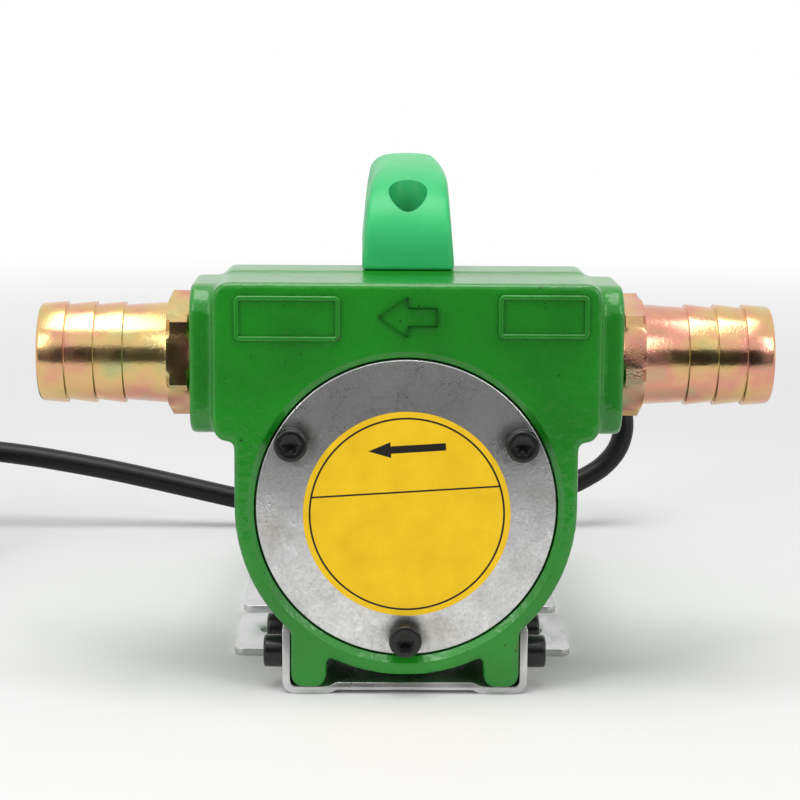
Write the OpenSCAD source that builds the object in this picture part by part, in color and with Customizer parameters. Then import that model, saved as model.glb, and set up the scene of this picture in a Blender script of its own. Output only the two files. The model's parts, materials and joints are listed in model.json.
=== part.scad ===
// Fuel transfer pump: a self-priming sliding vane pump with a brush motor behind it.
// X runs along the two hose barbs, Y runs from the pump cover back to the motor, Z is up.
// The part stands on its base plate at Z = 0, with its box centred on X = 0 and Y = 0.

/* [Casing] */
// Radius of the round lower body
casing_r = 43.6; // [43:0.2:48]
// Depth of the casting, front to back
casing_d = 43; // [43:1:50]
// Height of the cover's centre above the floor
cover_z = 48.8; // [48:0.2:54]
// Width of the flat plate at the top of the casing
plate_w = 98; // [96:0.4:110]
// Height of the casing's flat top above the floor
top_z = 106.3; // [105:0.5:112]
// Height of the flat plate, down to its shoulders
plate_h = 40.5; // [39:0.5:44]
// Radius of the plate's corners
plate_corner_r = 4; // [3:0.5:7]
// Raised height of the rear half of the top
pad_h = 0.5; // [0.3:0.1:2]
// Distance from the front face to the raised rear half
pad_u = 26.5; // [26:0.5:30]
// Height of the cast ridges on the front
ridge_h = 0.7; // [0.4:0.1:1]
// Width of the cast ridges on the front
ridge_w = 0.9; // [0.6:0.1:1.4]

/* [Ports] */
// Height of the hose axis above the floor
port_z = 85.5; // [85:0.5:86.5]
// Distance of the hose axis behind the front face
port_u = 24; // [23:0.5:24.5]
// Distance between the outer faces of the two bosses
boss_span = 110.4; // [108:0.4:116]
// Width of a boss, front to back
boss_w = 38; // [36:0.5:38]
// Height of a boss
boss_h = 38.5; // [38:0.5:40.5]
// Radius of a boss's corners
boss_corner_r = 8; // [6:0.5:10]
// Width across flats of the fitting's hexagon
hex_af = 28; // [27:0.5:30]
// Thickness of the hexagon
hex_l = 6.2; // [5:0.2:8]
// Outer diameter at the ridges of the barb
barb_d = 26.4; // [25:0.2:28]
// Smallest outer diameter between the ridges
barb_root_d = 24.7; // [23.8:0.1:24.8]
// Diameter of the bore through the barb
barb_bore_d = 19; // [16:0.5:20]
// Distance from one ridge to the next
barb_pitch = 7.5; // [6.5:0.5:9]
// Length of the plain cone next to the hexagon
barb_root_l = 11.4; // [9:0.2:12]
// Length of the barb beyond its last ridge
barb_tip_l = 7; // [6.6:0.2:11]
// Depth of the thread in the casing
thread_l = 14; // [12:1:15]
// Diameter of the threaded hole in the casing
thread_d = 24.4; // [23.6:0.2:25]

/* [Pump chamber] */
// Radius of the chamber that the vanes sweep
chamber_r = 27.5; // [26:0.1:27.6]
// Depth of the chamber
chamber_d = 25; // [22:0.5:25]
// Distance of the rotor's axis above the chamber's centre
eccentricity = 3; // [2.6:0.1:3.2]
// Gap between rotor and chamber where they nearly touch
rotor_gap = 0.1; // [0.05:0.05:0.15]
// Number of vanes
vane_n = 4; // [4:1:4]
// Thickness of a vane
vane_t = 3; // [2.5:0.1:3.5]
// Length of a vane along its slot
vane_l = 11; // [9:0.5:11.5]
// Radius of the passages inside the casing
passage_r = 9; // [8:0.5:9]

/* [Cover] */
// Radius of the round front cover
cover_r = 38.2; // [38:0.1:38.8]
// Thickness of the front cover
cover_t = 5; // [4:0.5:6]
// Distance of the cover's face behind the casing's rim
cover_inset = 1; // [0.5:0.1:1.5]
// Radius of the circle through the three cover screws
cover_screw_circle_r = 33.7; // [33.6:0.1:33.8]
// Radius of the label
label_r = 26.4; // [24:0.2:27]
// Thickness of the label
label_t = 0.2; // [0.1:0.05:0.4]

/* [Motor] */
// Outer radius of the motor barrel
barrel_r = 42; // [41:0.2:43]
// Wall of the motor barrel
barrel_wall = 3; // [2.6:0.1:3]
// Length of the motor barrel
barrel_l = 62; // [62:1:70]
// Thickness of the flange between casing and motor
flange_t = 9; // [9:0.5:12]
// Length of the rear cover
rear_l = 38; // [38:1:44]
// Radius of the motor shaft
shaft_r = 6; // [5.8:0.1:6]
// Radius of the armature
armature_r = 29.7; // [28:0.1:29.8]
// How much shorter the armature's iron core is than the barrel
core_short = 24; // [22:1:28]
// Number of armature slots
slot_n = 12; // [12:1:14]
// Radius of the commutator
commutator_r = 13; // [12:0.2:13.4]
// Inner radius of the magnets
magnet_in_r = 30.5; // [30.4:0.1:31]
// How much longer the magnets are than the core
magnet_over = 2; // [1:0.5:3]

/* [Handle] */
// Distance from the handle's rear end to the rear cover's face
handle_rear_in = 11; // [10:0.5:13]
// Height of the handle above the casing's raised top
handle_h = 27.2; // [26:0.2:32]
// Width of the handle at its foot
handle_w = 24.5; // [22:0.5:26]
// Width of the handle just below its top
handle_top_w = 20.8; // [19:0.2:21.6]
// Length of each foot of the handle
handle_foot_l = 17; // [16:0.5:18]
// Height of the grip
grip_t = 13; // [11:0.5:14]
// Diameter of the sunk screw hole
handle_hole_d = 10.2; // [9.4:0.2:10.6]
// Distance from the end of the handle to its screw
handle_screw_in = 7.8; // [6.6:0.1:8.6]

/* [Base plate] */
// Thickness of the sheet
sheet_t = 2; // [1.6:0.2:2.4]
// Outer width of the channel that holds the feet
channel_w = 63; // [62:0.5:68]
// Height of the channel's side walls
channel_h = 17; // [16:0.5:20]
// Length of the channel's side walls
channel_l = 35.5; // [35:0.5:38]
// Rise of the floor between the feet
floor_rise = 1; // [0.5:0.1:1.4]
// Distance from the front face to the base plate
base_u = 1.5; // [1:0.5:3]
// Length of one ear
ear_l = 40; // [36:1:44]
// Gap between the near and the far ear
ear_gap = 7.5; // [6:0.5:10]
// Width over the ears
ear_span = 92; // [90:1:100]
// Diameter of the mounting hole in an ear
ear_hole_d = 6.6; // [5.5:0.1:7]
// Distance between the mounting holes across the pump
ear_hole_span = 72.6; // [72:0.2:78]
// Width of one foot of the casing
foot_w = 9.2; // [8.6:0.2:11]

/* [Fasteners] */
// Diameter of the screw's shank
screw_d = 4.9; // [4.5:0.1:4.9]
// Diameter of the screw's head
head_d = 8.4; // [8:0.1:8.6]
// Height of the screw's head
head_h = 5; // [4:0.5:5]
// Width across flats of the socket in the head
socket_af = 4; // [3:0.5:4.5]
// Length of the cover and foot screws under the head
screw_l = 13; // [11:1:14]

/* [Cord] */
// Diameter of the cord
cord_d = 7.2; // [6.8:0.1:7.2]
// Length of the strain relief behind the motor
relief_l = 22; // [22:0.5:22]
// Number of turns in the coil
coil_turns = 5.25; // [5.25:1:5.25]

/* [Hidden] */
// Names of all the pieces

// Smoothness of large, middle and small rounds
fn_large = 120;
fn_mid = 64;
fn_small = 32;
// Overrun of every cut past the face it leaves
over = 0.5;
// Running clearance of turning and sliding fits, on the radius
run_gap = 0.05;
// Clearance where one fixed piece drops into another
seat_gap = 0.1;
// Clearance between a thread and its tapped hole
thread_gap = 0.05;
// Clearance of a screw through a plain hole
hole_gap = 0.3;

// Positions behind the front face, called u, from front to back
cover_back_u = cover_inset + cover_t;
chamber_back_u = cover_back_u + chamber_d;
seal_wall = 4;
seal_u = chamber_back_u + seal_wall;
flange_u = casing_d;
barrel_u = flange_u + flange_t;
rear_u = barrel_u + barrel_l;
rear_end_u = rear_u + rear_l;
front_end_u = cover_inset - head_h;
bezel_t = 2;
rocker_proud = 2;
back_end_u = rear_end_u + bezel_t + rocker_proud;
// The front face stands at this Y, which centres the whole pump on Y = 0
face_y = -(front_end_u + back_end_u) / 2;
// Height of the turning axis, above the chamber's centre by the eccentricity
axis_z = cover_z + eccentricity;

// Pieces of the screws
tap_d = screw_d + 2 * thread_gap;
clear_d = screw_d + 2 * hole_gap;
socket_depth = head_h / 2;
head_edge = head_h / 12;

// Puts children behind the front face by u, at height z
module at(u, z = 0, x = 0) {
    translate([x, face_y + u, z]) children();
}

// Round bar along +Y from the origin
module bar_y(r, l, fn = fn_large) {
    rotate([-90, 0, 0]) cylinder(r = r, h = l, $fn = fn);
}

// Round bar along +X from the origin
module bar_x(r, l, fn = fn_mid) {
    rotate([0, 90, 0]) cylinder(r = r, h = l, $fn = fn);
}

// Flat outline in X and Z, given thickness l along +Y
module plate_y(l) {
    translate([0, l, 0]) rotate([90, 0, 0]) linear_extrude(l) children();
}

// Ring along +Y
module ring_y(r_out, r_in, l) {
    difference() {
        bar_y(r_out, l);
        translate([0, -over, 0]) bar_y(r_in, l + 2 * over);
    }
}

// Rectangle with true round corners, centred
module round_rect(w, h, r, fn = fn_mid) {
    square([w - 2 * r, h], center = true);
    square([w, h - 2 * r], center = true);
    for (sx = [-1, 1], sy = [-1, 1]) {
        translate([sx * (w / 2 - r), sy * (h / 2 - r)]) circle(r = r, $fn = fn);
    }
}

// Socket screw along +Z from under its head, head below the origin
module socket_screw(shank_l) {
    difference() {
        rotate_extrude($fn = fn_mid) polygon([
            [0, -head_h], [head_d / 2 - head_edge, -head_h],
            [head_d / 2, head_edge - head_h], [head_d / 2, 0],
            [screw_d / 2, 0], [screw_d / 2, shank_l - head_edge],
            [screw_d / 2 - head_edge, shank_l], [0, shank_l]
        ]);
        translate([0, 0, -head_h - over])
            cylinder(d = socket_af / cos(30), h = socket_depth + over, $fn = 6);
    }
}

// Tube swept along points, as one closed polyhedron
function unit(v) = v / norm(v);
function tangent(p, i) = unit(p[min(i + 1, len(p) - 1)] - p[max(i - 1, 0)]);
// The first side vector is chosen level, then carried along without twist
function carry(side, t) = unit(side - (side * t) * t);
function sides_along(p, i = 0, list = []) =
    i >= len(p) ? list
    : let (t = tangent(p, i))
      let (start = abs(t[2]) < 0.9 ? cross(t, [0, 0, 1]) : cross(t, [1, 0, 0]))
      sides_along(p, i + 1, concat(list, [i == 0 ? unit(start) : carry(list[i - 1], t)]));
module sweep(p, r, fn) {
    side = sides_along(p);
    n = len(p);
    rings = [for (i = [0:n - 1]) let (up = cross(tangent(p, i), side[i]))
        for (k = [0:fn - 1]) p[i] + r * (cos(360 * k / fn) * side[i] + sin(360 * k / fn) * up)];
    walls = [for (i = [0:n - 2]) for (k = [0:fn - 1]) let (a = i * fn + k) let (b = i * fn + (k + 1) % fn)
        each [[b, a, a + fn], [b, a + fn, b + fn]]];
    first = [for (k = [0:fn - 1]) k];
    last = [for (k = [0:fn - 1]) n * fn - 1 - k];
    polyhedron(points = rings, faces = concat(walls, [first, last]), convexity = 10);
}

// Length of a line through points
function path_length(p, i = 1) = i >= len(p) ? 0 : norm(p[i] - p[i - 1]) + path_length(p, i + 1);

// Casing sizes that follow from the others
boss_t = (boss_span - plate_w) / 2;
recess_play = 0.5;
recess_r = cover_r + recess_play;
rim_bevel = 1.3;
foot_out_x = channel_w / 2 - sheet_t - 2 * seat_gap;
foot_in_x = foot_out_x - foot_w;
foot_r = foot_w / 3;
foot_z = sheet_t;
foot_d = channel_l + base_u;
wall_step = 0.4;
foot_screw_z = 9.7;
foot_screw_inset = 6.5;
foot_screw_u = [base_u + foot_screw_inset, base_u + channel_l - foot_screw_inset];
foot_screw_l = foot_w - foot_r + sheet_t;
cover_screw_angles = [30, 150, 270];
seal_ring_r = 29.5;
seal_section_r = 0.9;
vertical_x = 16;
vertical_r = 6.5;
flange_screw_r = 34;
flange_screw_angles = [45, 135, 225, 315];
flange_screw_l = 18;
shaft_seal_r = 11;
shaft_seal_l = 7;
shaft_play = 1;
shaft_hole_r = shaft_r + shaft_play;
handle_in = 0.5;
handle_front_u = pad_u + handle_in;
handle_screw_u = handle_front_u + handle_screw_in;
handle_rear_u = rear_end_u - handle_rear_in;
handle_l = handle_rear_u - handle_front_u;
handle_rear_screw_u = handle_rear_u - handle_screw_in;
pad_side_share = 0.7;
pad_w = plate_w - 2 * pad_side_share * plate_corner_r;
handle_tap_l = 12;

// Outline of the casting, seen from the front
module casing_outline() {
    translate([0, cover_z]) circle(r = casing_r, $fn = fn_large);
    translate([-casing_r, cover_z]) square([2 * casing_r, top_z - cover_z - plate_corner_r]);
    translate([0, top_z - plate_h / 2]) round_rect(plate_w, plate_h, plate_corner_r);
}

// Frame of a name field, left bare: its middle, width and height
left_field_x = -30.2;
left_field_drop = 8.9;
left_field_w = 26.6;
left_field_h = 11.4;
right_field_x = 34.2;
right_field_drop = 8.2;
right_field_w = 22.8;
right_field_h = 11;
module ridge_frame(x, drop, w, h) {
    plate_y(ridge_h) translate([x, top_z - drop]) difference() {
        square([w, h], center = true);
        square([w - 2 * ridge_w, h - 2 * ridge_w], center = true);
    }
}

// Cast arrow that shows the flow, an outline of ridges
arrow_l = 15;
arrow_h = 10.3;
arrow_head_l = 7.6;
arrow_tail_h = 4.6;
arrow_drop = 8.5;
arrow_z = top_z - arrow_drop;
// The inner outline keeps its slanted edges one ridge inside the outer ones, by these shares of the ridge
tip_inset_share = 1.8;
barb_inset_share = 2;
function arrow_points(in) = [
    [-arrow_l / 2 + tip_inset_share * in, 0],
    [-arrow_l / 2 + arrow_head_l - in, arrow_h / 2 - barb_inset_share * in],
    [-arrow_l / 2 + arrow_head_l - in, arrow_tail_h / 2 - in],
    [arrow_l / 2 - in, arrow_tail_h / 2 - in],
    [arrow_l / 2 - in, -arrow_tail_h / 2 + in],
    [-arrow_l / 2 + arrow_head_l - in, -arrow_tail_h / 2 + in],
    [-arrow_l / 2 + arrow_head_l - in, -arrow_h / 2 + barb_inset_share * in]
];
module ridge_arrow() {
    plate_y(ridge_h) translate([0, arrow_z]) difference() {
        polygon(arrow_points(0));
        polygon(arrow_points(ridge_w));
    }
}

module pump_casing() {
    color("forestgreen") difference() {
        union() {
            at(0) plate_y(casing_d) casing_outline();
            // Raised rear half of the top
            at(pad_u, top_z - pad_h, -pad_w / 2) cube([pad_w, casing_d - pad_u, 2 * pad_h]);
            // Port bosses
            for (s = [-1, 1]) {
                at(port_u, port_z) rotate([0, s * 90, 0]) {
                    translate([0, 0, plate_w / 2 - plate_corner_r])
                        linear_extrude(boss_t + plate_corner_r) round_rect(boss_h, boss_w, boss_corner_r);
                }
            }
            // Two feet
            for (s = [-1, 1]) {
                at(0) plate_y(foot_d) translate([s * (foot_in_x + foot_w / 2), (foot_z + cover_z) / 2])
                    round_rect(foot_w, cover_z - foot_z, foot_r, fn_small);
            }
            // Cast ridges on the front
            at(-ridge_h) ridge_frame(left_field_x, left_field_drop, left_field_w, left_field_h);
            at(-ridge_h) ridge_frame(right_field_x, right_field_drop, right_field_w, right_field_h);
            at(-ridge_h) ridge_arrow();
        }
        // Recess for the cover, with a bevelled rim
        at(-over, cover_z) bar_y(recess_r, cover_back_u + over);
        at(0, cover_z) rotate([-90, 0, 0]) {
            translate([0, 0, -over]) cylinder(r = recess_r + rim_bevel, h = over, $fn = fn_large);
            cylinder(r1 = recess_r + rim_bevel, r2 = recess_r, h = rim_bevel, $fn = fn_large);
        }
        // Chamber, groove of its seal and the tapped holes of the cover
        at(cover_back_u - over, cover_z) bar_y(chamber_r, chamber_d + over);
        at(cover_back_u - over, cover_z)
            ring_y(seal_ring_r + seal_section_r + seat_gap, seal_ring_r - seal_section_r - seat_gap,
                   2 * seal_section_r + over);
        for (a = cover_screw_angles) {
            at(cover_back_u - over, cover_z + cover_screw_circle_r * sin(a), cover_screw_circle_r * cos(a))
                bar_y(tap_d / 2, screw_l - cover_t + 2 * over, fn_small);
        }
        // Shaft hole and pocket of the shaft seal
        at(chamber_back_u - over, axis_z) bar_y(shaft_hole_r, seal_wall + 2 * over);
        at(seal_u, axis_z) bar_y(shaft_seal_r, casing_d);
        // Ports: thread, level passage and upright passage on each side
        for (s = [-1, 1]) {
            at(port_u, port_z, s * (boss_span / 2 + over)) rotate([0, 0, s > 0 ? 180 : 0]) {
                bar_x(thread_d / 2, thread_l + over);
                bar_x(passage_r, boss_span / 2 - vertical_x + over);
            }
            at(port_u, cover_z + chamber_r / 2, s * vertical_x)
                cylinder(r = vertical_r, h = port_z - cover_z - chamber_r / 2, $fn = fn_mid);
            at(port_u, port_z, s * vertical_x) sphere(r = passage_r, $fn = fn_mid);
        }
        // Machined steps that clear the base plate's walls
        for (s = [-1, 1]) {
            at(-over, -over, s * (foot_out_x + channel_w / 2) - channel_w / 2)
                cube([channel_w, foot_d + wall_step + over, channel_h + wall_step + over]);
        }
        // Tapped holes for the foot screws
        for (s = [-1, 1], u = foot_screw_u) {
            at(u, foot_screw_z, s * (foot_out_x + over)) rotate([0, 0, s > 0 ? 180 : 0])
                bar_x(tap_d / 2, foot_w - foot_r + over, fn_small);
        }
        // Tapped holes for the motor flange and the handle
        for (a = flange_screw_angles) {
            at(casing_d + over, axis_z + flange_screw_r * sin(a), flange_screw_r * cos(a))
                rotate([0, 0, 180]) bar_y(tap_d / 2, flange_screw_l - flange_t + 2 * over, fn_small);
        }
        at(handle_screw_u, top_z - handle_tap_l) cylinder(d = tap_d, h = 2 * handle_tap_l, $fn = fn_small);
    }
}

module front_cover() {
    color("silver") difference() {
        at(cover_inset, cover_z) bar_y(cover_r, cover_t);
        for (a = cover_screw_angles) {
            at(cover_inset - over, cover_z + cover_screw_circle_r * sin(a), cover_screw_circle_r * cos(a))
                bar_y(clear_d / 2, cover_t + 2 * over, fn_small);
        }
    }
}

module cover_seal() {
    color("black") at(cover_back_u + seal_section_r, cover_z) rotate([-90, 0, 0])
        rotate_extrude($fn = fn_large)
            translate([seal_ring_r, 0]) circle(r = seal_section_r, $fn = fn_small);
}

label_x = 0.2;
label_drop = 1.5;
module cover_label() {
    color("gold") at(cover_inset - label_t, cover_z - label_drop, label_x) bar_y(label_r, label_t);
}

module cover_screws() {
    color("black") for (a = cover_screw_angles) {
        at(cover_inset, cover_z + cover_screw_circle_r * sin(a), cover_screw_circle_r * cos(a))
            rotate([-90, 0, 0]) socket_screw(screw_l);
    }
}

// Hose fitting along +X from the boss face, turned by its hexagon
hex_chamfer = 1.4;
barb_chamfer = 1.3;
barb_ridge_n = 3;
barb_end = hex_l + barb_root_l + (barb_ridge_n - 1) * barb_pitch + barb_tip_l;
module barb(hex_turn) {
    r = barb_d / 2;
    root = barb_root_d / 2;
    tip_r = root + (r - root) * 0.2;
    thread_r = thread_d / 2 - thread_gap;
    thread_end = barb_chamfer - thread_l;
    ridges = [for (i = [0:barb_ridge_n - 1]) hex_l + barb_root_l + i * barb_pitch];
    cones = [for (x = ridges) each [[root, x], [r, x]]];
    corner = hex_af / cos(30) / 2;
    difference() {
        union() {
            rotate([0, 90, 0]) rotate_extrude($fn = fn_large) polygon(concat(
                [[0, thread_end], [thread_r - barb_chamfer, thread_end]],
                [[thread_r, thread_end + barb_chamfer], [thread_r, 0], [r, 0], [r, hex_l]],
                cones,
                [[tip_r, barb_end - barb_chamfer], [root - barb_chamfer, barb_end], [0, barb_end]]
            ));
            intersection() {
                rotate([hex_turn, 0, 0]) rotate([0, 90, 0]) cylinder(r = corner, h = hex_l, $fn = 6);
                rotate([0, 90, 0]) rotate_extrude($fn = fn_large) polygon([
                    [0, 0], [corner - hex_chamfer, 0], [corner, hex_chamfer / 2],
                    [corner, hex_l - hex_chamfer / 2], [corner - hex_chamfer, hex_l], [0, hex_l]
                ]);
            }
        }
        translate([-thread_l - over, 0, 0]) bar_x(barb_bore_d / 2, thread_l + barb_end + 2 * over);
    }
}

module outlet_barb() {
    color("darkkhaki") at(port_u, port_z, -boss_span / 2) rotate([0, 0, 180]) barb(0);
}

module inlet_barb() {
    color("darkkhaki") at(port_u, port_z, boss_span / 2) barb(30);
}

// Cross-section of the base plate: half of the raised floor, the bend and the flat part
rise_x = 17.5;
bend_run = 2;
wall_corner_r = 3.5;
module floor_section(w) {
    flat_x = rise_x + bend_run;
    polygon([
        [-w / 2, 0], [-flat_x, 0], [-rise_x, floor_rise], [rise_x, floor_rise], [flat_x, 0], [w / 2, 0],
        [w / 2, sheet_t], [flat_x, sheet_t], [rise_x, sheet_t + floor_rise],
        [-rise_x, sheet_t + floor_rise], [-flat_x, sheet_t], [-w / 2, sheet_t]
    ]);
}

// Channel with rounded bends at the foot of its walls
module wall_section(s) {
    inner_r = wall_corner_r - sheet_t;
    cx = channel_w / 2 - wall_corner_r;
    scale([s, 1]) {
        translate([channel_w / 2 - sheet_t, wall_corner_r]) square([sheet_t, channel_h - wall_corner_r]);
        intersection() {
            translate([cx, wall_corner_r]) difference() {
                circle(r = wall_corner_r, $fn = fn_mid);
                circle(r = inner_r, $fn = fn_mid);
            }
            translate([cx, 0]) square([wall_corner_r, wall_corner_r]);
        }
    }
}

ear_corner_r = 3;
ear_relief = 1;
near_ear_u = base_u + channel_l + ear_relief;
far_ear_u = near_ear_u + ear_l + ear_gap;
base_end_u = far_ear_u + ear_l;
module base_plate() {
    flat_w = channel_w - 2 * wall_corner_r;
    color("lightgray") difference() {
        union() {
            at(base_u) plate_y(base_end_u - base_u) floor_section(flat_w);
            at(base_u) plate_y(channel_l) for (s = [-1, 1]) wall_section(s);
            // Four ears, each with rounded corners
            for (u = [near_ear_u, far_ear_u]) {
                at(u + ear_l / 2) linear_extrude(sheet_t) difference() {
                    round_rect(ear_span, ear_l, ear_corner_r, fn_small);
                    square([flat_w - 2 * ear_corner_r, ear_l + 2 * over], center = true);
                }
            }
        }
        for (s = [-1, 1], u = [near_ear_u, far_ear_u]) {
            at(u + ear_l / 2, -over, s * ear_hole_span / 2)
                cylinder(d = ear_hole_d, h = sheet_t + 2 * over, $fn = fn_small);
        }
        for (s = [-1, 1], u = foot_screw_u) {
            at(u, foot_screw_z, s * (channel_w / 2 + over)) rotate([0, 0, s > 0 ? 180 : 0])
                bar_x(clear_d / 2, sheet_t + 2 * over, fn_small);
        }
    }
}

module foot_screws() {
    color("black") for (s = [-1, 1], u = foot_screw_u) {
        at(u, foot_screw_z, s * channel_w / 2) rotate([0, -s * 90, 0]) socket_screw(foot_screw_l);
    }
}

// Handle: an arch between two feet, drawn from the side with a rounded outline
arch_power = 3.3;
arch_steps = 36;
handle_corner_r = 6.4;
handle_foot_z = top_z + pad_h;
rear_foot_drop = 10;
rear_pad_z = handle_foot_z - rear_foot_drop;
function power_cos(angle) = sign(cos(angle)) * pow(abs(cos(angle)), 2 / arch_power);
function arch(a, b) = [for (i = [0:arch_steps])
    [-a * power_cos(180 * i / arch_steps), b * abs(power_cos(90 - 180 * i / arch_steps))]];
module handle_side() {
    a = handle_l / 2;
    inner_a = a - handle_foot_l;
    inner = arch(inner_a, handle_h - grip_t);
    rear_foot = [[a, -rear_foot_drop], [inner_a, -rear_foot_drop]];
    polygon(concat(arch(a, handle_h), rear_foot, [for (i = [arch_steps:-1:0]) inner[i]]));
}
module handle_front() {
    round_z = handle_foot_z + handle_h - handle_corner_r;
    polygon([
        [-handle_w / 2, rear_pad_z], [handle_w / 2, rear_pad_z], [handle_w / 2, handle_foot_z],
        [handle_top_w / 2, round_z], [-handle_top_w / 2, round_z], [-handle_w / 2, handle_foot_z]
    ]);
    translate([0, round_z])
        round_rect(handle_top_w, 2 * handle_corner_r, handle_corner_r - over / 4, fn_small);
}
handle_seat_h = 6;
rear_tap_l = 9;
handle_screw_l = handle_seat_h + rear_tap_l - over;
module handle() {
    color("mediumseagreen") difference() {
        intersection() {
            translate([-handle_w, face_y + handle_front_u + handle_l / 2, handle_foot_z])
                rotate([90, 0, 90]) linear_extrude(2 * handle_w) handle_side();
            at(0) plate_y(2 * handle_l) handle_front();
        }
        for (p = [[handle_screw_u, handle_foot_z], [handle_rear_screw_u, rear_pad_z]]) {
            at(p[0], p[1] - over) cylinder(d = clear_d, h = handle_h, $fn = fn_small);
            at(p[0], p[1] + handle_seat_h) cylinder(d = handle_hole_d, h = 2 * handle_h, $fn = fn_mid);
        }
    }
}

module handle_screws() {
    color("black") for (p = [[handle_screw_u, handle_foot_z], [handle_rear_screw_u, rear_pad_z]]) {
        at(p[0], p[1] + handle_seat_h) rotate([180, 0, 0]) socket_screw(handle_screw_l);
    }
}

// Rotor in the chamber, with its slots at 45 degrees from the point where it nearly touches
rotor_r = chamber_r - eccentricity - rotor_gap;
rotor_l = chamber_d - 4 * run_gap;
rotor_u = cover_back_u + 2 * run_gap;
vane_start = 45;
vane_tip_in = 0.1;
vane_tip_r = rotor_r - vane_tip_in;
slot_bottom_r = vane_tip_r - vane_l - vane_tip_in;
key_w = 4;
key_h = 3;
key_l = rotor_l / 2;
module pump_rotor() {
    color("dimgray") at(rotor_u, axis_z) difference() {
        bar_y(rotor_r, rotor_l);
        translate([0, -over, 0]) bar_y(shaft_r + thread_gap, rotor_l + 2 * over, fn_mid);
        for (i = [0:vane_n - 1]) {
            rotate([0, vane_start + 360 * i / vane_n, 0])
                translate([-vane_t / 2 - run_gap, -over, slot_bottom_r])
                    cube([vane_t + 2 * run_gap, rotor_l + 2 * over, rotor_r]);
        }
        translate([-key_w / 2 - run_gap, rotor_l - key_l - seat_gap, 0])
            cube([key_w + 2 * run_gap, key_l + over, shaft_r + key_h / 2 + seat_gap]);
    }
}

module rotor_key() {
    color("gray") at(rotor_u + rotor_l - key_l, axis_z)
        translate([-key_w / 2, 0, shaft_r - key_h / 2]) cube([key_w, key_l, key_h]);
}

// Vane with a rounded outer edge, lying flush in its slot
module vane(i) {
    tip = vane_t / 2;
    color("saddlebrown") at(rotor_u + run_gap, axis_z) rotate([0, vane_start + 360 * i / vane_n, 0]) {
        translate([-vane_t / 2, 0, vane_tip_r - vane_l])
            cube([vane_t, rotor_l - 2 * run_gap, vane_l - tip]);
        translate([0, 0, vane_tip_r - tip]) bar_y(tip, rotor_l - 2 * run_gap, fn_small);
    }
}
module vane_1() { vane(0); }
module vane_2() { vane(1); }
module vane_3() { vane(2); }
module vane_4() { vane(3); }

module shaft_seal() {
    color("black") at(seal_u + seat_gap, axis_z)
        ring_y(shaft_seal_r - seat_gap, shaft_r + run_gap, shaft_seal_l);
}

// Motor flange with the pocket of the front bearing
bearing_l = 8;
front_bearing_r = 14;
rear_bearing_r = 13;
rear_seat_r = 5;
tie_r = 33;
module motor_flange() {
    color("forestgreen") at(flange_u, axis_z) difference() {
        bar_y(barrel_r, flange_t);
        translate([0, -over, 0]) bar_y(shaft_hole_r, flange_t + 2 * over, fn_mid);
        translate([0, flange_t - bearing_l, 0]) bar_y(front_bearing_r + run_gap, bearing_l + over);
        for (a = flange_screw_angles) {
            translate([flange_screw_r * cos(a), -over, flange_screw_r * sin(a)])
                bar_y(clear_d / 2, flange_t + 2 * over, fn_small);
        }
        for (s = [-1, 1]) {
            translate([s * tie_r, -over, 0]) bar_y(tap_d / 2, flange_t + 2 * over, fn_small);
        }
    }
}

module flange_screws() {
    color("black") for (a = flange_screw_angles) {
        at(barrel_u, axis_z + flange_screw_r * sin(a), flange_screw_r * cos(a))
            rotate([90, 0, 0]) socket_screw(flange_screw_l);
    }
}

barrel_in_r = barrel_r - barrel_wall;
module motor_barrel() {
    color("forestgreen") at(barrel_u, axis_z) ring_y(barrel_r, barrel_in_r, barrel_l);
}

// Two magnet shells, above and below the armature
magnet_half_angle = 60;
magnet_gap = 1.5;
magnet_u = barrel_u + head_h + magnet_gap;
core_l = barrel_l - core_short;
magnet_l = core_l + magnet_over;
module magnets() {
    reach = 2 * barrel_r;
    color("darkslategray") at(magnet_u, axis_z) for (s = [-1, 1]) {
        intersection() {
            ring_y(barrel_in_r - run_gap, magnet_in_r, magnet_l);
            plate_y(magnet_l) polygon([
                [0, 0], [reach * sin(magnet_half_angle), s * reach * cos(magnet_half_angle)],
                [reach * sin(magnet_half_angle), s * reach], [-reach * sin(magnet_half_angle), s * reach],
                [-reach * sin(magnet_half_angle), s * reach * cos(magnet_half_angle)]
            ]);
        }
    }
}

// Long bolts from the rear cover to the flange, their heads sunk in the cover
tie_sink = 1;
tie_head_sink = head_h + tie_sink;
tie_l = barrel_l + rear_l - tie_head_sink + flange_t - tie_sink;
module tie_bolts() {
    color("black") for (s = [-1, 1]) {
        at(rear_end_u - tie_head_sink, axis_z, s * tie_r) rotate([90, 0, 0]) socket_screw(tie_l);
    }
}

// Shaft from the rotor to the rear bearing
shaft_back_in = 2;
shaft_front_u = rotor_u + shaft_back_in;
commutator_l = 11;
end_turn_l = 6;
core_u = magnet_u + magnet_over / 2;
winding_back_l = 8;
commutator_u = core_u + core_l + winding_back_l + seat_gap;
lead_room = 20;
rear_bearing_u = commutator_u + commutator_l + lead_room;
shaft_over = 1;
shaft_end_u = rear_bearing_u + bearing_l + shaft_over;
step_u = commutator_u + commutator_l + 2 * shaft_over;
module motor_shaft() {
    color("silver") difference() {
        union() {
            at(shaft_front_u, axis_z) bar_y(shaft_r, step_u - shaft_front_u, fn_mid);
            at(step_u, axis_z) bar_y(rear_seat_r, shaft_end_u - step_u, fn_mid);
        }
        at(rotor_u + rotor_l - key_l - seat_gap, axis_z)
            translate([-key_w / 2 - run_gap, 0, shaft_r - key_h / 2 - seat_gap])
                cube([key_w + 2 * run_gap, key_l + 2 * seat_gap, key_h + 2 * seat_gap]);
    }
}

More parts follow.
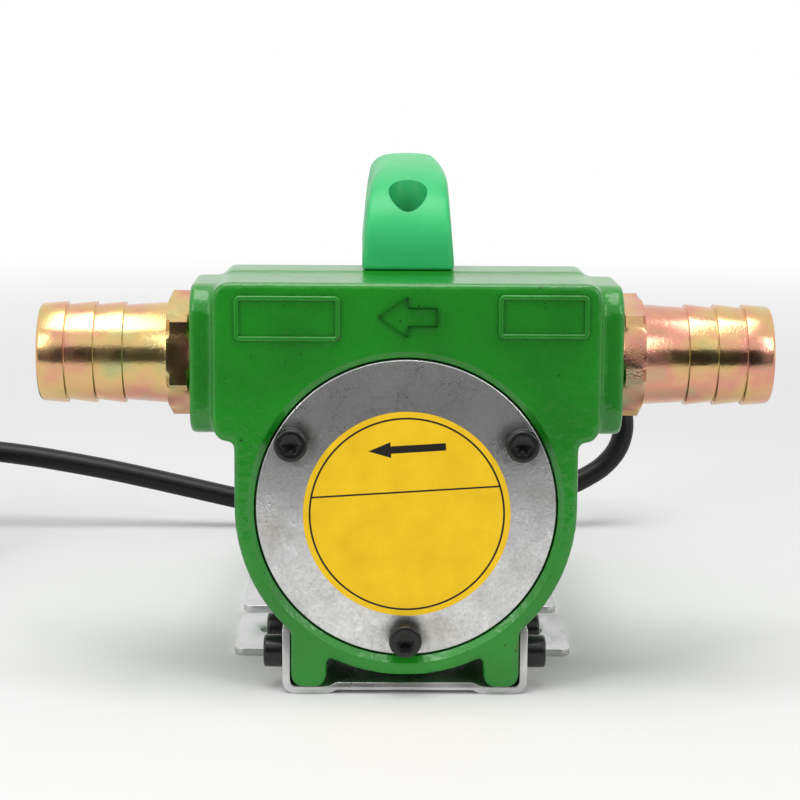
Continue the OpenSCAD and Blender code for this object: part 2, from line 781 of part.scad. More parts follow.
// Iron core with open slots, and the copper that fills them
slot_in_r = 19;
slot_w = 6;
slot_mouth_w = 2.4;
slot_lip = 1.6;
slot_out_r = armature_r - slot_lip;
module armature_core() {
    color("slategray") at(core_u, axis_z) difference() {
        bar_y(armature_r, core_l);
        translate([0, -over, 0]) bar_y(shaft_r + thread_gap, core_l + 2 * over, fn_mid);
        for (i = [0:slot_n - 1]) {
            rotate([0, 360 * (i + 0.5) / slot_n, 0]) {
                translate([-slot_w / 2, -over, slot_in_r])
                    cube([slot_w, core_l + 2 * over, slot_out_r - slot_in_r]);
                translate([-slot_mouth_w / 2, -over, slot_in_r])
                    cube([slot_mouth_w, core_l + 2 * over, armature_r]);
            }
        }
    }
}

liner = 3;
winding_in_r = shaft_r + liner;
winding_out_r = slot_out_r - liner / 3;
module armature_windings() {
    bundle_h = winding_out_r - slot_in_r - liner / 3;
    color("peru") {
        at(core_u - end_turn_l, axis_z) ring_y(winding_out_r, winding_in_r, end_turn_l);
        at(core_u + core_l, axis_z) ring_y(winding_out_r, winding_in_r, winding_back_l);
        at(core_u, axis_z) for (i = [0:slot_n - 1]) {
            rotate([0, 360 * (i + 0.5) / slot_n, 0])
                translate([seat_gap - slot_w / 2, -end_turn_l / 2, slot_in_r + seat_gap])
                    cube([slot_w - 2 * seat_gap, core_l + end_turn_l, bundle_h]);
        }
    }
}

bar_groove_w = 0.5;
bar_groove_h = 1.5;
module commutator() {
    color("darkorange") at(commutator_u, axis_z) difference() {
        bar_y(commutator_r, commutator_l);
        translate([0, -over, 0]) bar_y(shaft_r + thread_gap, commutator_l + 2 * over, fn_mid);
        for (i = [0:slot_n - 1]) {
            rotate([0, 360 * (i + 0.5) / slot_n, 0])
                translate([-bar_groove_w / 2, -over, commutator_r - bar_groove_h])
                    cube([bar_groove_w, commutator_l + 2 * over, 2 * bar_groove_h]);
        }
    }
}

// Ball bearing: outer race, inner race and balls between them
ball_n = 8;
module bearing(r_out, r_in) {
    band = r_out - r_in;
    mid_r = (r_out + r_in) / 2;
    ball_r = band * 0.27;
    race = band * 0.3;
    color("silver") {
        difference() {
            ring_y(r_out, r_out - race, bearing_l);
            translate([0, bearing_l / 2, 0]) rotate([-90, 0, 0]) rotate_extrude($fn = fn_mid)
                translate([mid_r, 0]) circle(r = ball_r + run_gap, $fn = fn_small);
        }
        difference() {
            ring_y(r_in + race, r_in, bearing_l);
            translate([0, bearing_l / 2, 0]) rotate([-90, 0, 0]) rotate_extrude($fn = fn_mid)
                translate([mid_r, 0]) circle(r = ball_r + run_gap, $fn = fn_small);
        }
        for (i = [0:ball_n - 1]) {
            translate([mid_r * cos(360 * i / ball_n), bearing_l / 2, mid_r * sin(360 * i / ball_n)])
                sphere(r = ball_r, $fn = fn_small);
        }
    }
}

module front_bearing() {
    at(barrel_u - bearing_l, axis_z) bearing(front_bearing_r, shaft_r + run_gap);
}

module rear_bearing() {
    at(rear_bearing_u, axis_z) bearing(rear_bearing_r, rear_seat_r + run_gap);
}

// Brush gear: a plastic plate behind the commutator carries two brass boxes
brush_l = 13;
brush_y = 8;
brush_x = 6;
box_wall = 1;
brush_gap = 0.05;
brush_in = commutator_r + brush_gap;
brush_out = brush_in + brush_l;
box_clear = 2.5;
box_in = commutator_r + box_clear;
spring_l = 7;
box_out = brush_out + spring_l;
brush_u = commutator_u + commutator_l / 2;
plate_u = brush_u + brush_y / 2 + box_wall + run_gap;
brush_plate_t = 3;
column_r = 5;
module brush_plate() {
    color("burlywood") at(plate_u, axis_z) difference() {
        bar_y(barrel_in_r - seat_gap, brush_plate_t);
        translate([0, -over, 0]) bar_y(box_in - over, brush_plate_t + 2 * over, fn_mid);
        for (s = [-1, 1]) {
            translate([s * tie_r, -over, 0]) bar_y(column_r + seat_gap, brush_plate_t + 2 * over, fn_small);
        }
    }
}

module brush_boxes() {
    w = brush_x + 2 * box_wall + 2 * run_gap;
    d = brush_y + 2 * box_wall + 2 * run_gap;
    color("goldenrod") for (s = [-1, 1]) {
        at(brush_u, axis_z) scale([1, 1, s]) difference() {
            translate([-w / 2, -d / 2, box_in]) cube([w, d, box_out + box_wall - box_in]);
            translate([-w / 2 + box_wall, -d / 2 + box_wall, box_in - over])
                cube([w - 2 * box_wall, d - 2 * box_wall, box_out - box_in + over]);
        }
    }
}

module brush(s) {
    color("dimgray") at(brush_u, axis_z) scale([1, 1, s])
        translate([-brush_x / 2, -brush_y / 2, brush_in]) cube([brush_x, brush_y, brush_l]);
}
module brush_top() { brush(1); }
module brush_bottom() { brush(-1); }

// Pressure spring behind a brush, wound as one wire
spring_turns = 4;
spring_steps = 10;
wire_r = 0.35;
module brush_spring(s) {
    r = brush_x / 2 - wire_r - brush_gap - 2 * wire_r;
    free = spring_l - 2 * wire_r - 4 * brush_gap;
    p = [for (i = [0:spring_turns * spring_steps]) let (a = 360 * i / spring_steps)
        [r * cos(a), r * sin(a), wire_r + 2 * brush_gap + free * i / (spring_turns * spring_steps)]];
    color("silver") at(brush_u, axis_z + s * brush_out) scale([1, 1, s]) sweep(p, wire_r, 6);
}
module brush_spring_top() { brush_spring(1); }
module brush_spring_bottom() { brush_spring(-1); }

// Rear cover: a cup with the rear bearing's boss, bolt columns and the handle's pad
rear_wall = 3;
rear_bevel = 4;
bearing_boss_wall = 3.5;
shoulder_r = 6.5;
rear_pad_margin = 1;
rear_pad_u = handle_rear_u - handle_foot_l - rear_pad_margin;
rear_pad_l = rear_end_u - rear_bevel - rear_pad_u;
switch_drop = 25;
switch_w = 19.2;
switch_h = 13;
switch_z = axis_z - switch_drop - switch_h / 2;
gland_x = 11;
gland_up = 23;
gland_hole_r = 6;
// Solid cup: a round bar whose far end is bevelled
module bevelled_bar(r, l) {
    bar_y(r, l - rear_bevel);
    translate([0, l - rear_bevel, 0]) rotate([-90, 0, 0])
        cylinder(r1 = r, r2 = r - rear_bevel, h = rear_bevel, $fn = fn_large);
}
module rear_cover() {
    wall_u = rear_end_u - rear_wall / 2;
    shoulder_u = plate_u + brush_plate_t;
    pad_z = axis_z + barrel_in_r;
    color("forestgreen") difference() {
        union() {
            difference() {
                at(rear_u, axis_z) bevelled_bar(barrel_r, rear_l);
                at(rear_u - over, axis_z) bevelled_bar(barrel_in_r, rear_l - rear_wall + over);
            }
            // Boss of the rear bearing
            at(rear_bearing_u, axis_z) bar_y(rear_bearing_r + bearing_boss_wall, wall_u - rear_bearing_u);
            // Columns of the tie bolts, with a shoulder that carries the brush plate
            for (s = [-1, 1]) {
                at(rear_u, axis_z, s * tie_r) bar_y(column_r, wall_u - rear_u, fn_small);
                at(shoulder_u, axis_z, s * tie_r) bar_y(shoulder_r, wall_u - shoulder_u, fn_small);
            }
            // Pad of the handle's rear foot
            at(rear_pad_u, pad_z, -handle_w / 2) cube([handle_w, rear_pad_l, rear_pad_z - pad_z]);
        }
        // Pocket of the bearing
        at(rear_bearing_u - over, axis_z) bar_y(rear_bearing_r + run_gap, bearing_l + over);
        at(rear_bearing_u, axis_z)
            bar_y(rear_bearing_r - 3 * rear_wall / 2, bearing_l + 2 * shaft_over, fn_mid);
        // Bolt holes with sunk seats for the heads
        for (s = [-1, 1]) {
            at(rear_u - over, axis_z, s * tie_r) bar_y(clear_d / 2, rear_l + 2 * over, fn_small);
            at(rear_end_u - tie_head_sink, axis_z, s * tie_r)
                bar_y(head_d / 2 + hole_gap, tie_head_sink + over, fn_mid);
        }
        // Tapped hole of the handle
        at(handle_rear_screw_u, rear_pad_z - rear_tap_l)
            cylinder(d = tap_d, h = rear_tap_l + over, $fn = fn_small);
        // Window of the switch and hole of the cord's gland
        at(rear_end_u - 2 * rear_wall, switch_z - seat_gap, -switch_w / 2 - seat_gap)
            cube([switch_w + 2 * seat_gap, 3 * rear_wall, switch_h + 2 * seat_gap]);
        at(rear_end_u - 2 * rear_wall, axis_z + gland_up, gland_x)
            bar_y(gland_hole_r, 3 * rear_wall, fn_mid);
    }
}

// Bridge rectifier on the inside of the rear wall
rectifier_w = 12;
rectifier_h = 11;
rectifier_t = 6;
rectifier_in_x = 16;
rectifier_up = 8.5;
lead_w = 1;
lead_l = 5;
lead_n = 4;
module rectifier() {
    x0 = -rectifier_w - rectifier_in_x;
    z0 = axis_z + rectifier_up;
    u1 = rear_end_u - rear_wall;
    color("black") at(u1 - rectifier_t, z0, x0) cube([rectifier_w, rectifier_t, rectifier_h]);
    color("silver") for (i = [0:lead_n - 1]) {
        at(u1 - rectifier_t / 2, z0 - lead_l, x0 + rectifier_w * (i + 0.5) / lead_n - lead_w / 2)
            cube([lead_w, lead_w, lead_l]);
    }
}

// Rocker switch: body with bezel, and a rocker on two pins
bezel_w = 22;
bezel_h = 15.6;
switch_depth = 13;
rocker_w = 15;
rocker_h = 9.4;
rocker_gap = 0.3;
rocker_pocket = 5;
pin_r = 1;
pin_l = 1;
rocker_tilt = 8;
pivot_out = 0.6;
pivot_u = rear_end_u + pivot_out;
terminal_l = 6;
rocker_z = axis_z - switch_drop - rocker_h / 2;
module switch_body() {
    color("black") difference() {
        union() {
            at(rear_end_u, axis_z - switch_drop)
                plate_y(bezel_t) round_rect(bezel_w, bezel_h, bezel_t / 2, fn_small);
            at(rear_end_u - switch_depth, switch_z, -switch_w / 2) cube([switch_w, switch_depth, switch_h]);
            for (s = [-1, 1]) {
                at(rear_end_u - switch_depth - terminal_l, switch_z + switch_h / 4, s * switch_w / 4)
                    cube([lead_w, terminal_l + over, switch_h / 2]);
            }
        }
        at(rear_end_u - rocker_pocket, rocker_z - rocker_gap, -rocker_w / 2 - 2 * rocker_gap)
            cube([rocker_w + 4 * rocker_gap, rocker_pocket + bezel_t + over, rocker_h + 2 * rocker_gap]);
        at(pivot_u, rocker_z - pin_l - rocker_gap)
            cylinder(r = pin_r + run_gap, h = rocker_h + 2 * pin_l + 2 * rocker_gap, $fn = fn_small);
    }
}

// The rocker is drawn level and laid over to one side, where it rests
module switch_rocker() {
    face = bezel_t + rocker_proud - pivot_out - pin_r;
    side = rocker_w / 2 - rocker_gap;
    color("firebrick") at(pivot_u, rocker_z) rotate([0, 0, -rocker_tilt]) {
        linear_extrude(rocker_h) polygon([
            [-side, -pin_r], [-side / 2, -2.5 * pin_r], [side / 2, -2.5 * pin_r], [side, -pin_r],
            [side, face], [side / 2, face * 0.8], [0, face * 0.72], [-side / 2, face * 0.8], [-side, face]
        ]);
        translate([0, 0, -pin_l]) cylinder(r = pin_r, h = rocker_h + 2 * pin_l, $fn = fn_small);
    }
}

// Strain relief: nut inside, flange and tapered sleeve outside
relief_flange_r = 8;
relief_flange_t = 2;
relief_wall = 1.1;
relief_end_r = cord_d / 2 + relief_wall;
relief_nut_t = 3;
module cord_gland() {
    nut_in = -rear_wall - seat_gap;
    nut_end = -rear_wall - relief_nut_t;
    sleeve_r = gland_hole_r - seat_gap;
    color("black") at(rear_end_u, axis_z + gland_up, gland_x) rotate([-90, 0, 0])
        rotate_extrude($fn = fn_mid) polygon([
            [0, nut_end], [relief_flange_r, nut_end], [relief_flange_r, nut_in], [sleeve_r, nut_in],
            [sleeve_r, 0], [relief_flange_r, 0], [relief_flange_r, relief_flange_t],
            [gland_hole_r, relief_flange_t], [relief_end_r, relief_l], [0, relief_l]
        ]);
}

// Route of the free cord: out of the strain relief, round to the right, down and left over the floor
cord_route = [
    [11, 98, 74.8], [11, 106, 74.8], [12, 113.5, 75], [14.9, 120.5, 75], [19.5, 126.5, 74.6],
    [25.5, 131.1, 73.6], [32.5, 134, 71.8], [40, 135, 69], [48, 135.3, 65.6], [56.8, 135, 61.4],
    [65.8, 134.2, 56.4], [73, 133.4, 50], [77.4, 132.6, 42.8], [78.8, 131.8, 35.2],
    [77, 131, 27.9], [72.3, 130.3, 21.9], [65.9, 129.7, 17.6], [57.5, 129.1, 13.6],
    [48, 128.6, 10], [38.5, 128.3, 7.2], [29, 128, 5], [15, 128, 3.8], [1, 128, 3.7],
    [-13, 128, 3.9], [-27, 128, 5], [-41, 128, 7.3], [-55, 128, 10.2], [-69, 128, 13.4],
    [-84, 128, 16.8], [-98, 128, 19.8], [-112, 128, 22.4], [-126, 128, 24.7], [-140, 128, 26.4],
    [-154, 128, 27.4], [-168, 128, 27.7], [-180.8, 128, 27.7]
];
cord_sides = 10;
module cord() {
    color("black") sweep(cord_route, cord_d / 2, cord_sides);
}

// Coil of the stored cord: loops spiral in and out again in four layers, from the top one down
coil_layers = 4;
coil_mid_r = 42;
coil_gap = 0.5;
coil_steps = 24;
coil_lift = 1;
coil_pitch = cord_d + coil_gap;
layer_turns = coil_turns / coil_layers;
coil_out_r = coil_mid_r + coil_pitch * layer_turns / 2;
coil_top_z = cord_d / 2 + coil_lift + (coil_layers - 1) * coil_pitch;
coil_lead = cord_d;
route_end = cord_route[len(cord_route) - 1];
coil_x = route_end[0] - coil_lead;
coil_y = route_end[1] - coil_out_r;
// A smooth step from 0 to 1
function ease(x) = let (c = min(max(x, 0), 1)) (1 - cos(180 * c)) / 2;
// Distance of a turn from the outer radius, as a share of the pitch, at turn s
function swing(s) = let (k = floor(s / layer_turns)) let (r = s - k * layer_turns)
    k % 2 == 0 ? r : layer_turns - r;
// Layers climbed down at turn s, each in the half turn round a reversal
function layers_down(s) = ease((s - layer_turns) * 2 + 0.5) + ease((s - 2 * layer_turns) * 2 + 0.5)
    + ease((s - 3 * layer_turns) * 2 + 0.5);
function coil_point(s) = let (a = 90 + 360 * s) let (r = coil_out_r - coil_pitch * swing(s))
    [coil_x + r * cos(a), coil_y + r * sin(a), coil_top_z - coil_pitch * layers_down(s)];
coil_rings = ceil(coil_turns * coil_steps);
coil_turn_points = [for (i = [0:coil_rings - 1]) coil_point(coil_turns * i / coil_rings)];
// The tail runs off square to the coil and rises to the plug's middle
tail_x = coil_x - coil_out_r;
plug_h = 20;
plug_z = plug_h / 2;
tail_low_z = cord_d / 2 + coil_lift;
tail = [
    [tail_x, coil_y, tail_low_z], [tail_x, coil_y - coil_lead, tail_low_z],
    [tail_x, coil_y - 2 * coil_lead, tail_low_z + (plug_z - tail_low_z) * 0.3],
    [tail_x, coil_y - 3 * coil_lead, tail_low_z + (plug_z - tail_low_z) * 0.75],
    [tail_x, coil_y - 4 * coil_lead, plug_z], [tail_x, coil_y - 5 * coil_lead, plug_z]
];
coil_points = concat([route_end], coil_turn_points, tail);
// Least distance between turns, less the cord's diameter
coil_least_gap = min([for (i = [0:coil_rings - 1], j = [i + 8:coil_rings - 1])
    norm(coil_turn_points[i] - coil_turn_points[j])]) - cord_d;
echo(coil_least_gap = coil_least_gap, cord_length = path_length(cord_route) + path_length(coil_points));
module cord_coil() {
    color("black") sweep(coil_points, cord_d / 2, 6);
}

// Strap round the coil's bundle, at the side nearest to the pump's front
tie_w = 9;
tie_t = 0.8;
tie_play = 0.2;
tie_swings = [for (k = [0:floor(coil_turns) - 1]) swing(k + 0.5)];
module coil_tie() {
    bundle_w = coil_pitch * (max(tie_swings) - min(tie_swings)) + cord_d + 4 * tie_play;
    bundle_h = cord_d + (coil_layers - 1) * coil_pitch + 2 * tie_play;
    bundle_r = coil_out_r - coil_pitch * (max(tie_swings) + min(tie_swings)) / 2;
    color("dimgray") translate([coil_x - tie_w / 2, coil_y - bundle_r, coil_lift - tie_play + bundle_h / 2])
        rotate([90, 0, 90]) linear_extrude(tie_w) difference() {
            square([bundle_w + 2 * tie_t, bundle_h + 2 * tie_t], center = true);
            square([bundle_w, bundle_h], center = true);
        }
}

// Moulded plug: a grip that widens to the face, with two blades and an earth pin
plug_l = 38;
plug_w = 26;
plug_neck_w = 14;
plug_y = coil_y - 5 * coil_lead;
module plug_body() {
    color("black") translate([tail_x, plug_y, 0]) {
        linear_extrude(plug_h) polygon([
            [-plug_neck_w / 2, 0], [-plug_neck_w / 2, -plug_l / 4], [-plug_w / 2, -plug_l / 2],
            [-plug_w / 2, -plug_l], [plug_w / 2, -plug_l], [plug_w / 2, -plug_l / 2],
            [plug_neck_w / 2, -plug_l / 4], [plug_neck_w / 2, 0]
        ]);
    }
}

blade_l = 17;
blade_h = 6.3;
blade_t = 1.5;
blade_x = 6.35;
earth_d = 4.8;
earth_drop = 4;
module plug_blades() {
    color("silver") translate([tail_x, plug_y - plug_l, plug_z]) {
        for (s = [-1, 1]) {
            translate([s * blade_x - blade_t / 2, -blade_l, (earth_drop - blade_h) / 2])
                cube([blade_t, blade_l, blade_h]);
        }
        translate([0, -blade_l, -earth_drop]) bar_y(earth_d / 2, blade_l, fn_small);
    }
}

pump_casing();
front_cover();
cover_seal();
cover_label();
cover_screws();
outlet_barb();
inlet_barb();
base_plate();
foot_screws();
handle();
handle_screws();
pump_rotor();
rotor_key();
vane_1();
vane_2();
vane_3();
vane_4();
shaft_seal();
motor_flange();
flange_screws();
motor_barrel();
magnets();
tie_bolts();
motor_shaft();
armature_core();
armature_windings();
commutator();
front_bearing();
rear_bearing();
brush_plate();
brush_boxes();
brush_top();
brush_bottom();
brush_spring_top();
brush_spring_bottom();
rear_cover();
rectifier();
switch_body();
switch_rocker();
cord_gland();
cord();
cord_coil();
coil_tie();
plug_body();
plug_blades();
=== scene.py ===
# %% [markdown]
# # A fuel transfer pump
#
# This lesson dresses the CAD model of a small pump that moves diesel fuel: a green cast
# casing with a hose barb on each side, a round zinc-plated cover held by three screws, a
# plastic carry handle, a motor behind, a folded base plate and a mains cord. The CAD
# model gives each size and place. So every piece here is made where its CAD piece is, in
# metres, with +Z up and the round cover facing -Y.

# %% Load the frame
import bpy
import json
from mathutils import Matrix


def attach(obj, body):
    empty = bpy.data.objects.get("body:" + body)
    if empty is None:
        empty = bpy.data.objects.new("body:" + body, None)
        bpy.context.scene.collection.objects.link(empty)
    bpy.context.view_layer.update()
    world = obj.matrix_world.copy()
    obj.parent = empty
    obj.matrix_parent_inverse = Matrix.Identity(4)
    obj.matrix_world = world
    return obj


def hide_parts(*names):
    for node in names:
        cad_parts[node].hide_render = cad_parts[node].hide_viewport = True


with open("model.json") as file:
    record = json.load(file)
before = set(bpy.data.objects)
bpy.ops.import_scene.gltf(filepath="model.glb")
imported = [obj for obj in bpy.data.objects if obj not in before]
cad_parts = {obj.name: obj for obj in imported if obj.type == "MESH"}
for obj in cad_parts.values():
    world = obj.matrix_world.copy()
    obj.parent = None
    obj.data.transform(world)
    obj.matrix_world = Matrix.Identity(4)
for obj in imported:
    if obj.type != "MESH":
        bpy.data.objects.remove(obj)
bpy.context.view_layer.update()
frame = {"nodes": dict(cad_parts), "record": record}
print("CAD nodes:", len(frame["nodes"]))

# %% [markdown]
# ## Millimetres
#
# A maker thinks of a part this small in millimetres, but Blender's own unit is the
# metre. One short function turns a place on the pump into Blender's metres. Its middle
# number is the depth behind the casing's front face, which is where a fitter would
# measure from.

# %% Places in millimetres
import math

import bmesh
import bpy
from mathutils import Matrix, Vector

MM = 0.001
FRONT = -76  # Y of the casing's front face, in mm
COVER_Z = 48.8  # height of the cover's middle
TURN = 2 * math.pi


def spot(x, depth, z):
    """A point of the pump: mm to the right, mm behind the front face, mm above the floor."""
    return Vector((x, FRONT + depth, z)) * MM


print("cover's middle:", spot(0, 0, COVER_Z))

# %% [markdown]
# ## The camera
#
# The picture of the pump was taken from a little above, from nearly straight ahead and
# with a long lens, so the verticals hardly lean. The camera is built the same way: a
# place, a tilt down, a small turn to the right, and a trace of roll. Multiplying the
# rotations in that order is clearer than guessing Euler angles.

# %% Camera
LENS = 101.9
CAMERA_AT = (-10.6, -638.6, 166.0)  # mm
TILT, PAN, ROLL = (math.radians(a) for a in (9.0, 0.9, 0.4))


def placed(name, data):
    """A new object with that data, linked to the scene."""
    obj = bpy.data.objects.new(name, data)
    bpy.context.scene.collection.objects.link(obj)
    return obj


camera_data = bpy.data.cameras.new("camera")
camera_data.lens = LENS
camera_data.sensor_width = 36
camera = placed("camera", camera_data)
camera.matrix_world = (
    Matrix.Translation(Vector(CAMERA_AT) * MM)
    @ Matrix.Rotation(-PAN, 4, "Z")
    @ Matrix.Rotation(math.pi / 2 - TILT, 4, "X")
    @ Matrix.Rotation(ROLL, 4, "Z")
)
bpy.context.scene.camera = camera
print("camera at", camera.location, "lens", LENS)

# %% [markdown]
# ## Helpers for materials
#
# Paint, plastic and plated metal all start from the same shader. What makes them look
# real is small change across the surface: mottling, orange peel, wear. These helpers add
# nodes in one line each. Every pattern reads Object coordinates, which are metres on the
# pump itself, so a noise scale of 500 gives grains of about 2 mm.

# %% Material helpers
def material(name, **sockets):
    """A Principled material with constants set on the shader's own sockets."""
    mat = bpy.data.materials.new(name)
    mat.use_nodes = True
    shader = mat.node_tree.nodes["Principled BSDF"]
    for socket, value in sockets.items():
        shader.inputs[socket.replace("_", " ")].default_value = value
    return mat


def node(mat, kind, inputs, **settings):
    """One more node; an input is a number, a colour or another node's output."""
    made = mat.node_tree.nodes.new("ShaderNode" + kind)
    for key, value in settings.items():
        setattr(made, key, value)
    for key, value in inputs.items():
        if isinstance(value, bpy.types.NodeSocket):
            mat.node_tree.links.new(value, made.inputs[key])
        else:
            made.inputs[key].default_value = value
    return made


def wire(mat, socket, value):
    """Links an output to one of the shader's sockets."""
    mat.node_tree.links.new(value, mat.node_tree.nodes["Principled BSDF"].inputs[socket])


def coords(mat, centre=(0, 0, 0), turn=(0, 0, 0), scale=(1, 1, 1)):
    """Object coordinates, centred on a point in mm, then turned and scaled."""
    place = node(mat, "TexCoord", {}).outputs["Object"]
    moved = node(mat, "Mapping", {"Vector": place, "Location": [-c * MM for c in centre]})
    inputs = {"Vector": moved.outputs[0], "Rotation": turn, "Scale": scale}
    return node(mat, "Mapping", inputs).outputs[0]


def noise(mat, where, scale, detail=3.0, rough=0.5):
    """Cloudy numbers about 0.5."""
    inputs = {"Vector": where, "Scale": scale, "Detail": detail, "Roughness": rough}
    return node(mat, "TexNoise", inputs).outputs[0]


def ramp(mat, value, stops):
    """Colours along a number: stops are (place, colour)."""
    made = node(mat, "ValToRGB", {0: value})
    bar = made.color_ramp.elements
    while len(bar) < len(stops):
        bar.new(0.5)
    for stop, (place, colour) in zip(bar, stops):
        stop.position = place
        stop.color = (*colour, 1)
    return made.outputs[0]


def grey(value):
    return (value, value, value)


def band(mat, value, low, high, start=0.0, end=1.0):
    """A number that goes from start to end while value goes from low to high."""
    inputs = {0: value, 1: low, 2: high, 3: start, 4: end}
    return node(mat, "MapRange", inputs).outputs[0]


def maths(mat, operation, a, b=0.0):
    return node(mat, "Math", {0: a, 1: b}, operation=operation).outputs[0]


def mix(mat, share, a, b):
    """Colour a where share is 0, colour b where it is 1."""
    a, b = ((*c, 1) if isinstance(c, tuple) else c for c in (a, b))
    made = node(mat, "Mix", {0: share, 6: a, 7: b}, data_type="RGBA")
    return made.outputs[2]


def bump(mat, height, depth, normal=None):
    """Raises the surface by a pattern: depth is in mm."""
    inputs = {"Height": height, "Distance": depth * MM, "Strength": 1.0}
    if normal is not None:
        inputs["Normal"] = normal
    return node(mat, "Bump", inputs).outputs[0]


FINISH = {}
print("helpers for nodes are ready")

# %% [markdown]
# ## Green enamel
#
# The casing is cast iron under thick glossy enamel. The iron's rough skin still shows as
# orange peel, gloss lies over it, and there are a few pits and brown chips where paint
# is thin. The pits are real dips in the bump, painted near black as shade inside them. A
# clear coat with its own sharp gloss over a slightly rougher colour gives paint better
# than one layer. The chips follow the sharp edges, which the Geometry node's Pointiness
# finds on a dense mesh.

# %% Enamel
def enamel(name, colour):
    mat = material(name, Roughness=0.32, Specular_IOR_Level=0.4,
                   Coat_Weight=0.4, Coat_Roughness=0.09)
    where = coords(mat)
    shade = ramp(mat, noise(mat, where, 45, 4), [
        (0.3, [0.82 * c for c in colour]), (0.7, [1.12 * c for c in colour])])
    pits = band(mat, noise(mat, where, 800, 1), 0.775, 0.79)
    edge = node(mat, "NewGeometry", {}).outputs["Pointiness"]
    chips = maths(mat, "MULTIPLY", band(mat, edge, 0.525, 0.545),
                  band(mat, noise(mat, where, 200, 5, 0.7), 0.6, 0.63))
    # Painted shade: the pits, real dips in the bump below, are coloured near black for the shade
    # inside them.
    painted = mix(mat, pits, shade, (0.004, 0.02, 0.004))
    wire(mat, "Base Color", mix(mat, chips, painted, (0.05, 0.035, 0.02)))
    rough_iron, skin_depth = noise(mat, where, 380, 3), 0.26
    peel = bump(mat, noise(mat, where, 1300, 2), 0.05)
    skin = bump(mat, rough_iron, skin_depth, normal=peel)
    lumps = bump(mat, noise(mat, where, 90, 2), 0.34, normal=skin)
    wire(mat, "Normal", bump(mat, pits, -0.12, normal=lumps))
    wire(mat, "Coat Normal", bump(mat, rough_iron, skin_depth))
    return mat


GREEN = (0.007, 0.205, 0.008)
FINISH["enamel_green"] = enamel("green_enamel", GREEN)
print("enamel colour", GREEN)

# %% [markdown]
# ## Moulded handle plastic
#
# The handle is a lighter, milky green plastic with a half-gloss skin. Light goes a
# little way in, so a touch of subsurface scattering softens it. The mould leaves very
# low waves and a fine grain.

# %% Handle plastic
def handle_plastic():
    mat = material("green_plastic", Roughness=0.4, Subsurface_Weight=0.12,
                   Subsurface_Scale=0.002, Specular_IOR_Level=0.35)
    where = coords(mat)
    wire(mat, "Base Color", ramp(mat, noise(mat, where, 60, 3), [
        (0.3, (0.026, 0.42, 0.13)), (0.7, (0.036, 0.48, 0.155))]))
    waves = bump(mat, noise(mat, where, 90, 1), 0.06)
    wire(mat, "Normal", bump(mat, noise(mat, where, 1500, 2), 0.008, normal=waves))
    return mat


FINISH["handle_green"] = handle_plastic()
print("handle plastic ready")

# %% [markdown]
# ## Sandblasted zinc of the cover
#
# The cover is a machined steel disc, blasted and zinc plated. Blasting leaves a mottle
# of dull and less dull grains, and the metal's roughness is broken up with two sizes of
# noise. Round each screw the disc is painted darker, in a patchy circle found by the distance
# from the screw: painted shade for the head's shadow and its dark reflection.

# %% Cover zinc
SCREW_CIRCLE = 33.7
SCREW_ANGLES = [math.radians(a) for a in (30, 150, 270)]


def cover_zinc():
    mat = material("blasted_zinc", Metallic=0.95)
    where = coords(mat)
    fine = noise(mat, where, 1300, 4, 0.7)
    cloud = noise(mat, where, 140, 5, 0.65)
    mottle = maths(mat, "ADD", maths(mat, "MULTIPLY", fine, 0.5),
                   maths(mat, "MULTIPLY", cloud, 0.5))
    base = ramp(mat, mottle, [(0.36, grey(0.5)), (0.5, grey(0.66)), (0.64, grey(0.84))])
    # Painted shade: a dark circle round each screw stands for the head's shadow and reflection.
    screw_shade = 0.0
    for angle in SCREW_ANGLES:
        x, z = SCREW_CIRCLE * math.cos(angle), COVER_Z + SCREW_CIRCLE * math.sin(angle)
        away = node(mat, "VectorMath", {0: coords(mat, (x, FRONT, z), scale=(1, 0, 1))},
                    operation="LENGTH").outputs["Value"]
        screw_shade = maths(mat, "MAXIMUM", screw_shade, band(mat, away, 7.2 * MM, 4.6 * MM))
    patchy_screw_shade = maths(mat, "MULTIPLY", screw_shade,
                 band(mat, noise(mat, where, 260, 4), 0.35, 0.6, 0.1, 0.6))
    stain = band(mat, noise(mat, coords(mat, (-20, 0, 30)), 55, 4, 0.6), 0.56, 0.7, 0, 0.35)
    dusty = mix(mat, stain, base, (0.36, 0.30, 0.2))
    # Painted shade: the disc is darkened here, round each screw.
    wire(mat, "Base Color", mix(mat, patchy_screw_shade, dusty, (0.10, 0.10, 0.095)))
    wire(mat, "Roughness", band(mat, mottle, 0.35, 0.65, 0.38, 0.24))
    wire(mat, "Normal", bump(mat, fine, 0.07))
    return mat


FINISH["cover_zinc"] = cover_zinc()
# This counts the screws that have painted shade round them.
print("cover zinc ready, smudges round", len(SCREW_ANGLES), "screws")

# %% [markdown]
# ## The printed label
#
# The label is a yellow printed film stuck on the cover. It carries a thin ring line near
# its edge, a slightly slanting divider and an arrow for the flow. All three are simple
# shapes, so numbers in the material draw them: a ring is where the distance from the
# middle is nearly constant, and a bar is where two coordinates are both small.

# %% Label film
LABEL_X, LABEL_Z, LABEL_R = 0.2, 47.3, 26.4
SLANT = math.radians(3.7)
RING_R = LABEL_R - 1.7
DIVIDER_UP, DIVIDER_HALF_L = 5.85, 23.8
ARROW_UP, TIP, POINT_L, SHAFT_L = 16.85, -8.8, 5.7, 14.4  # TIP is the arrow's left end
SHAFT_X = 3.7


def inside(mat, value, middle, half):
    """1 where value lies within half of middle, both in mm."""
    off = maths(mat, "ABSOLUTE", maths(mat, "SUBTRACT", value, middle * MM))
    return maths(mat, "LESS_THAN", off, half * MM)


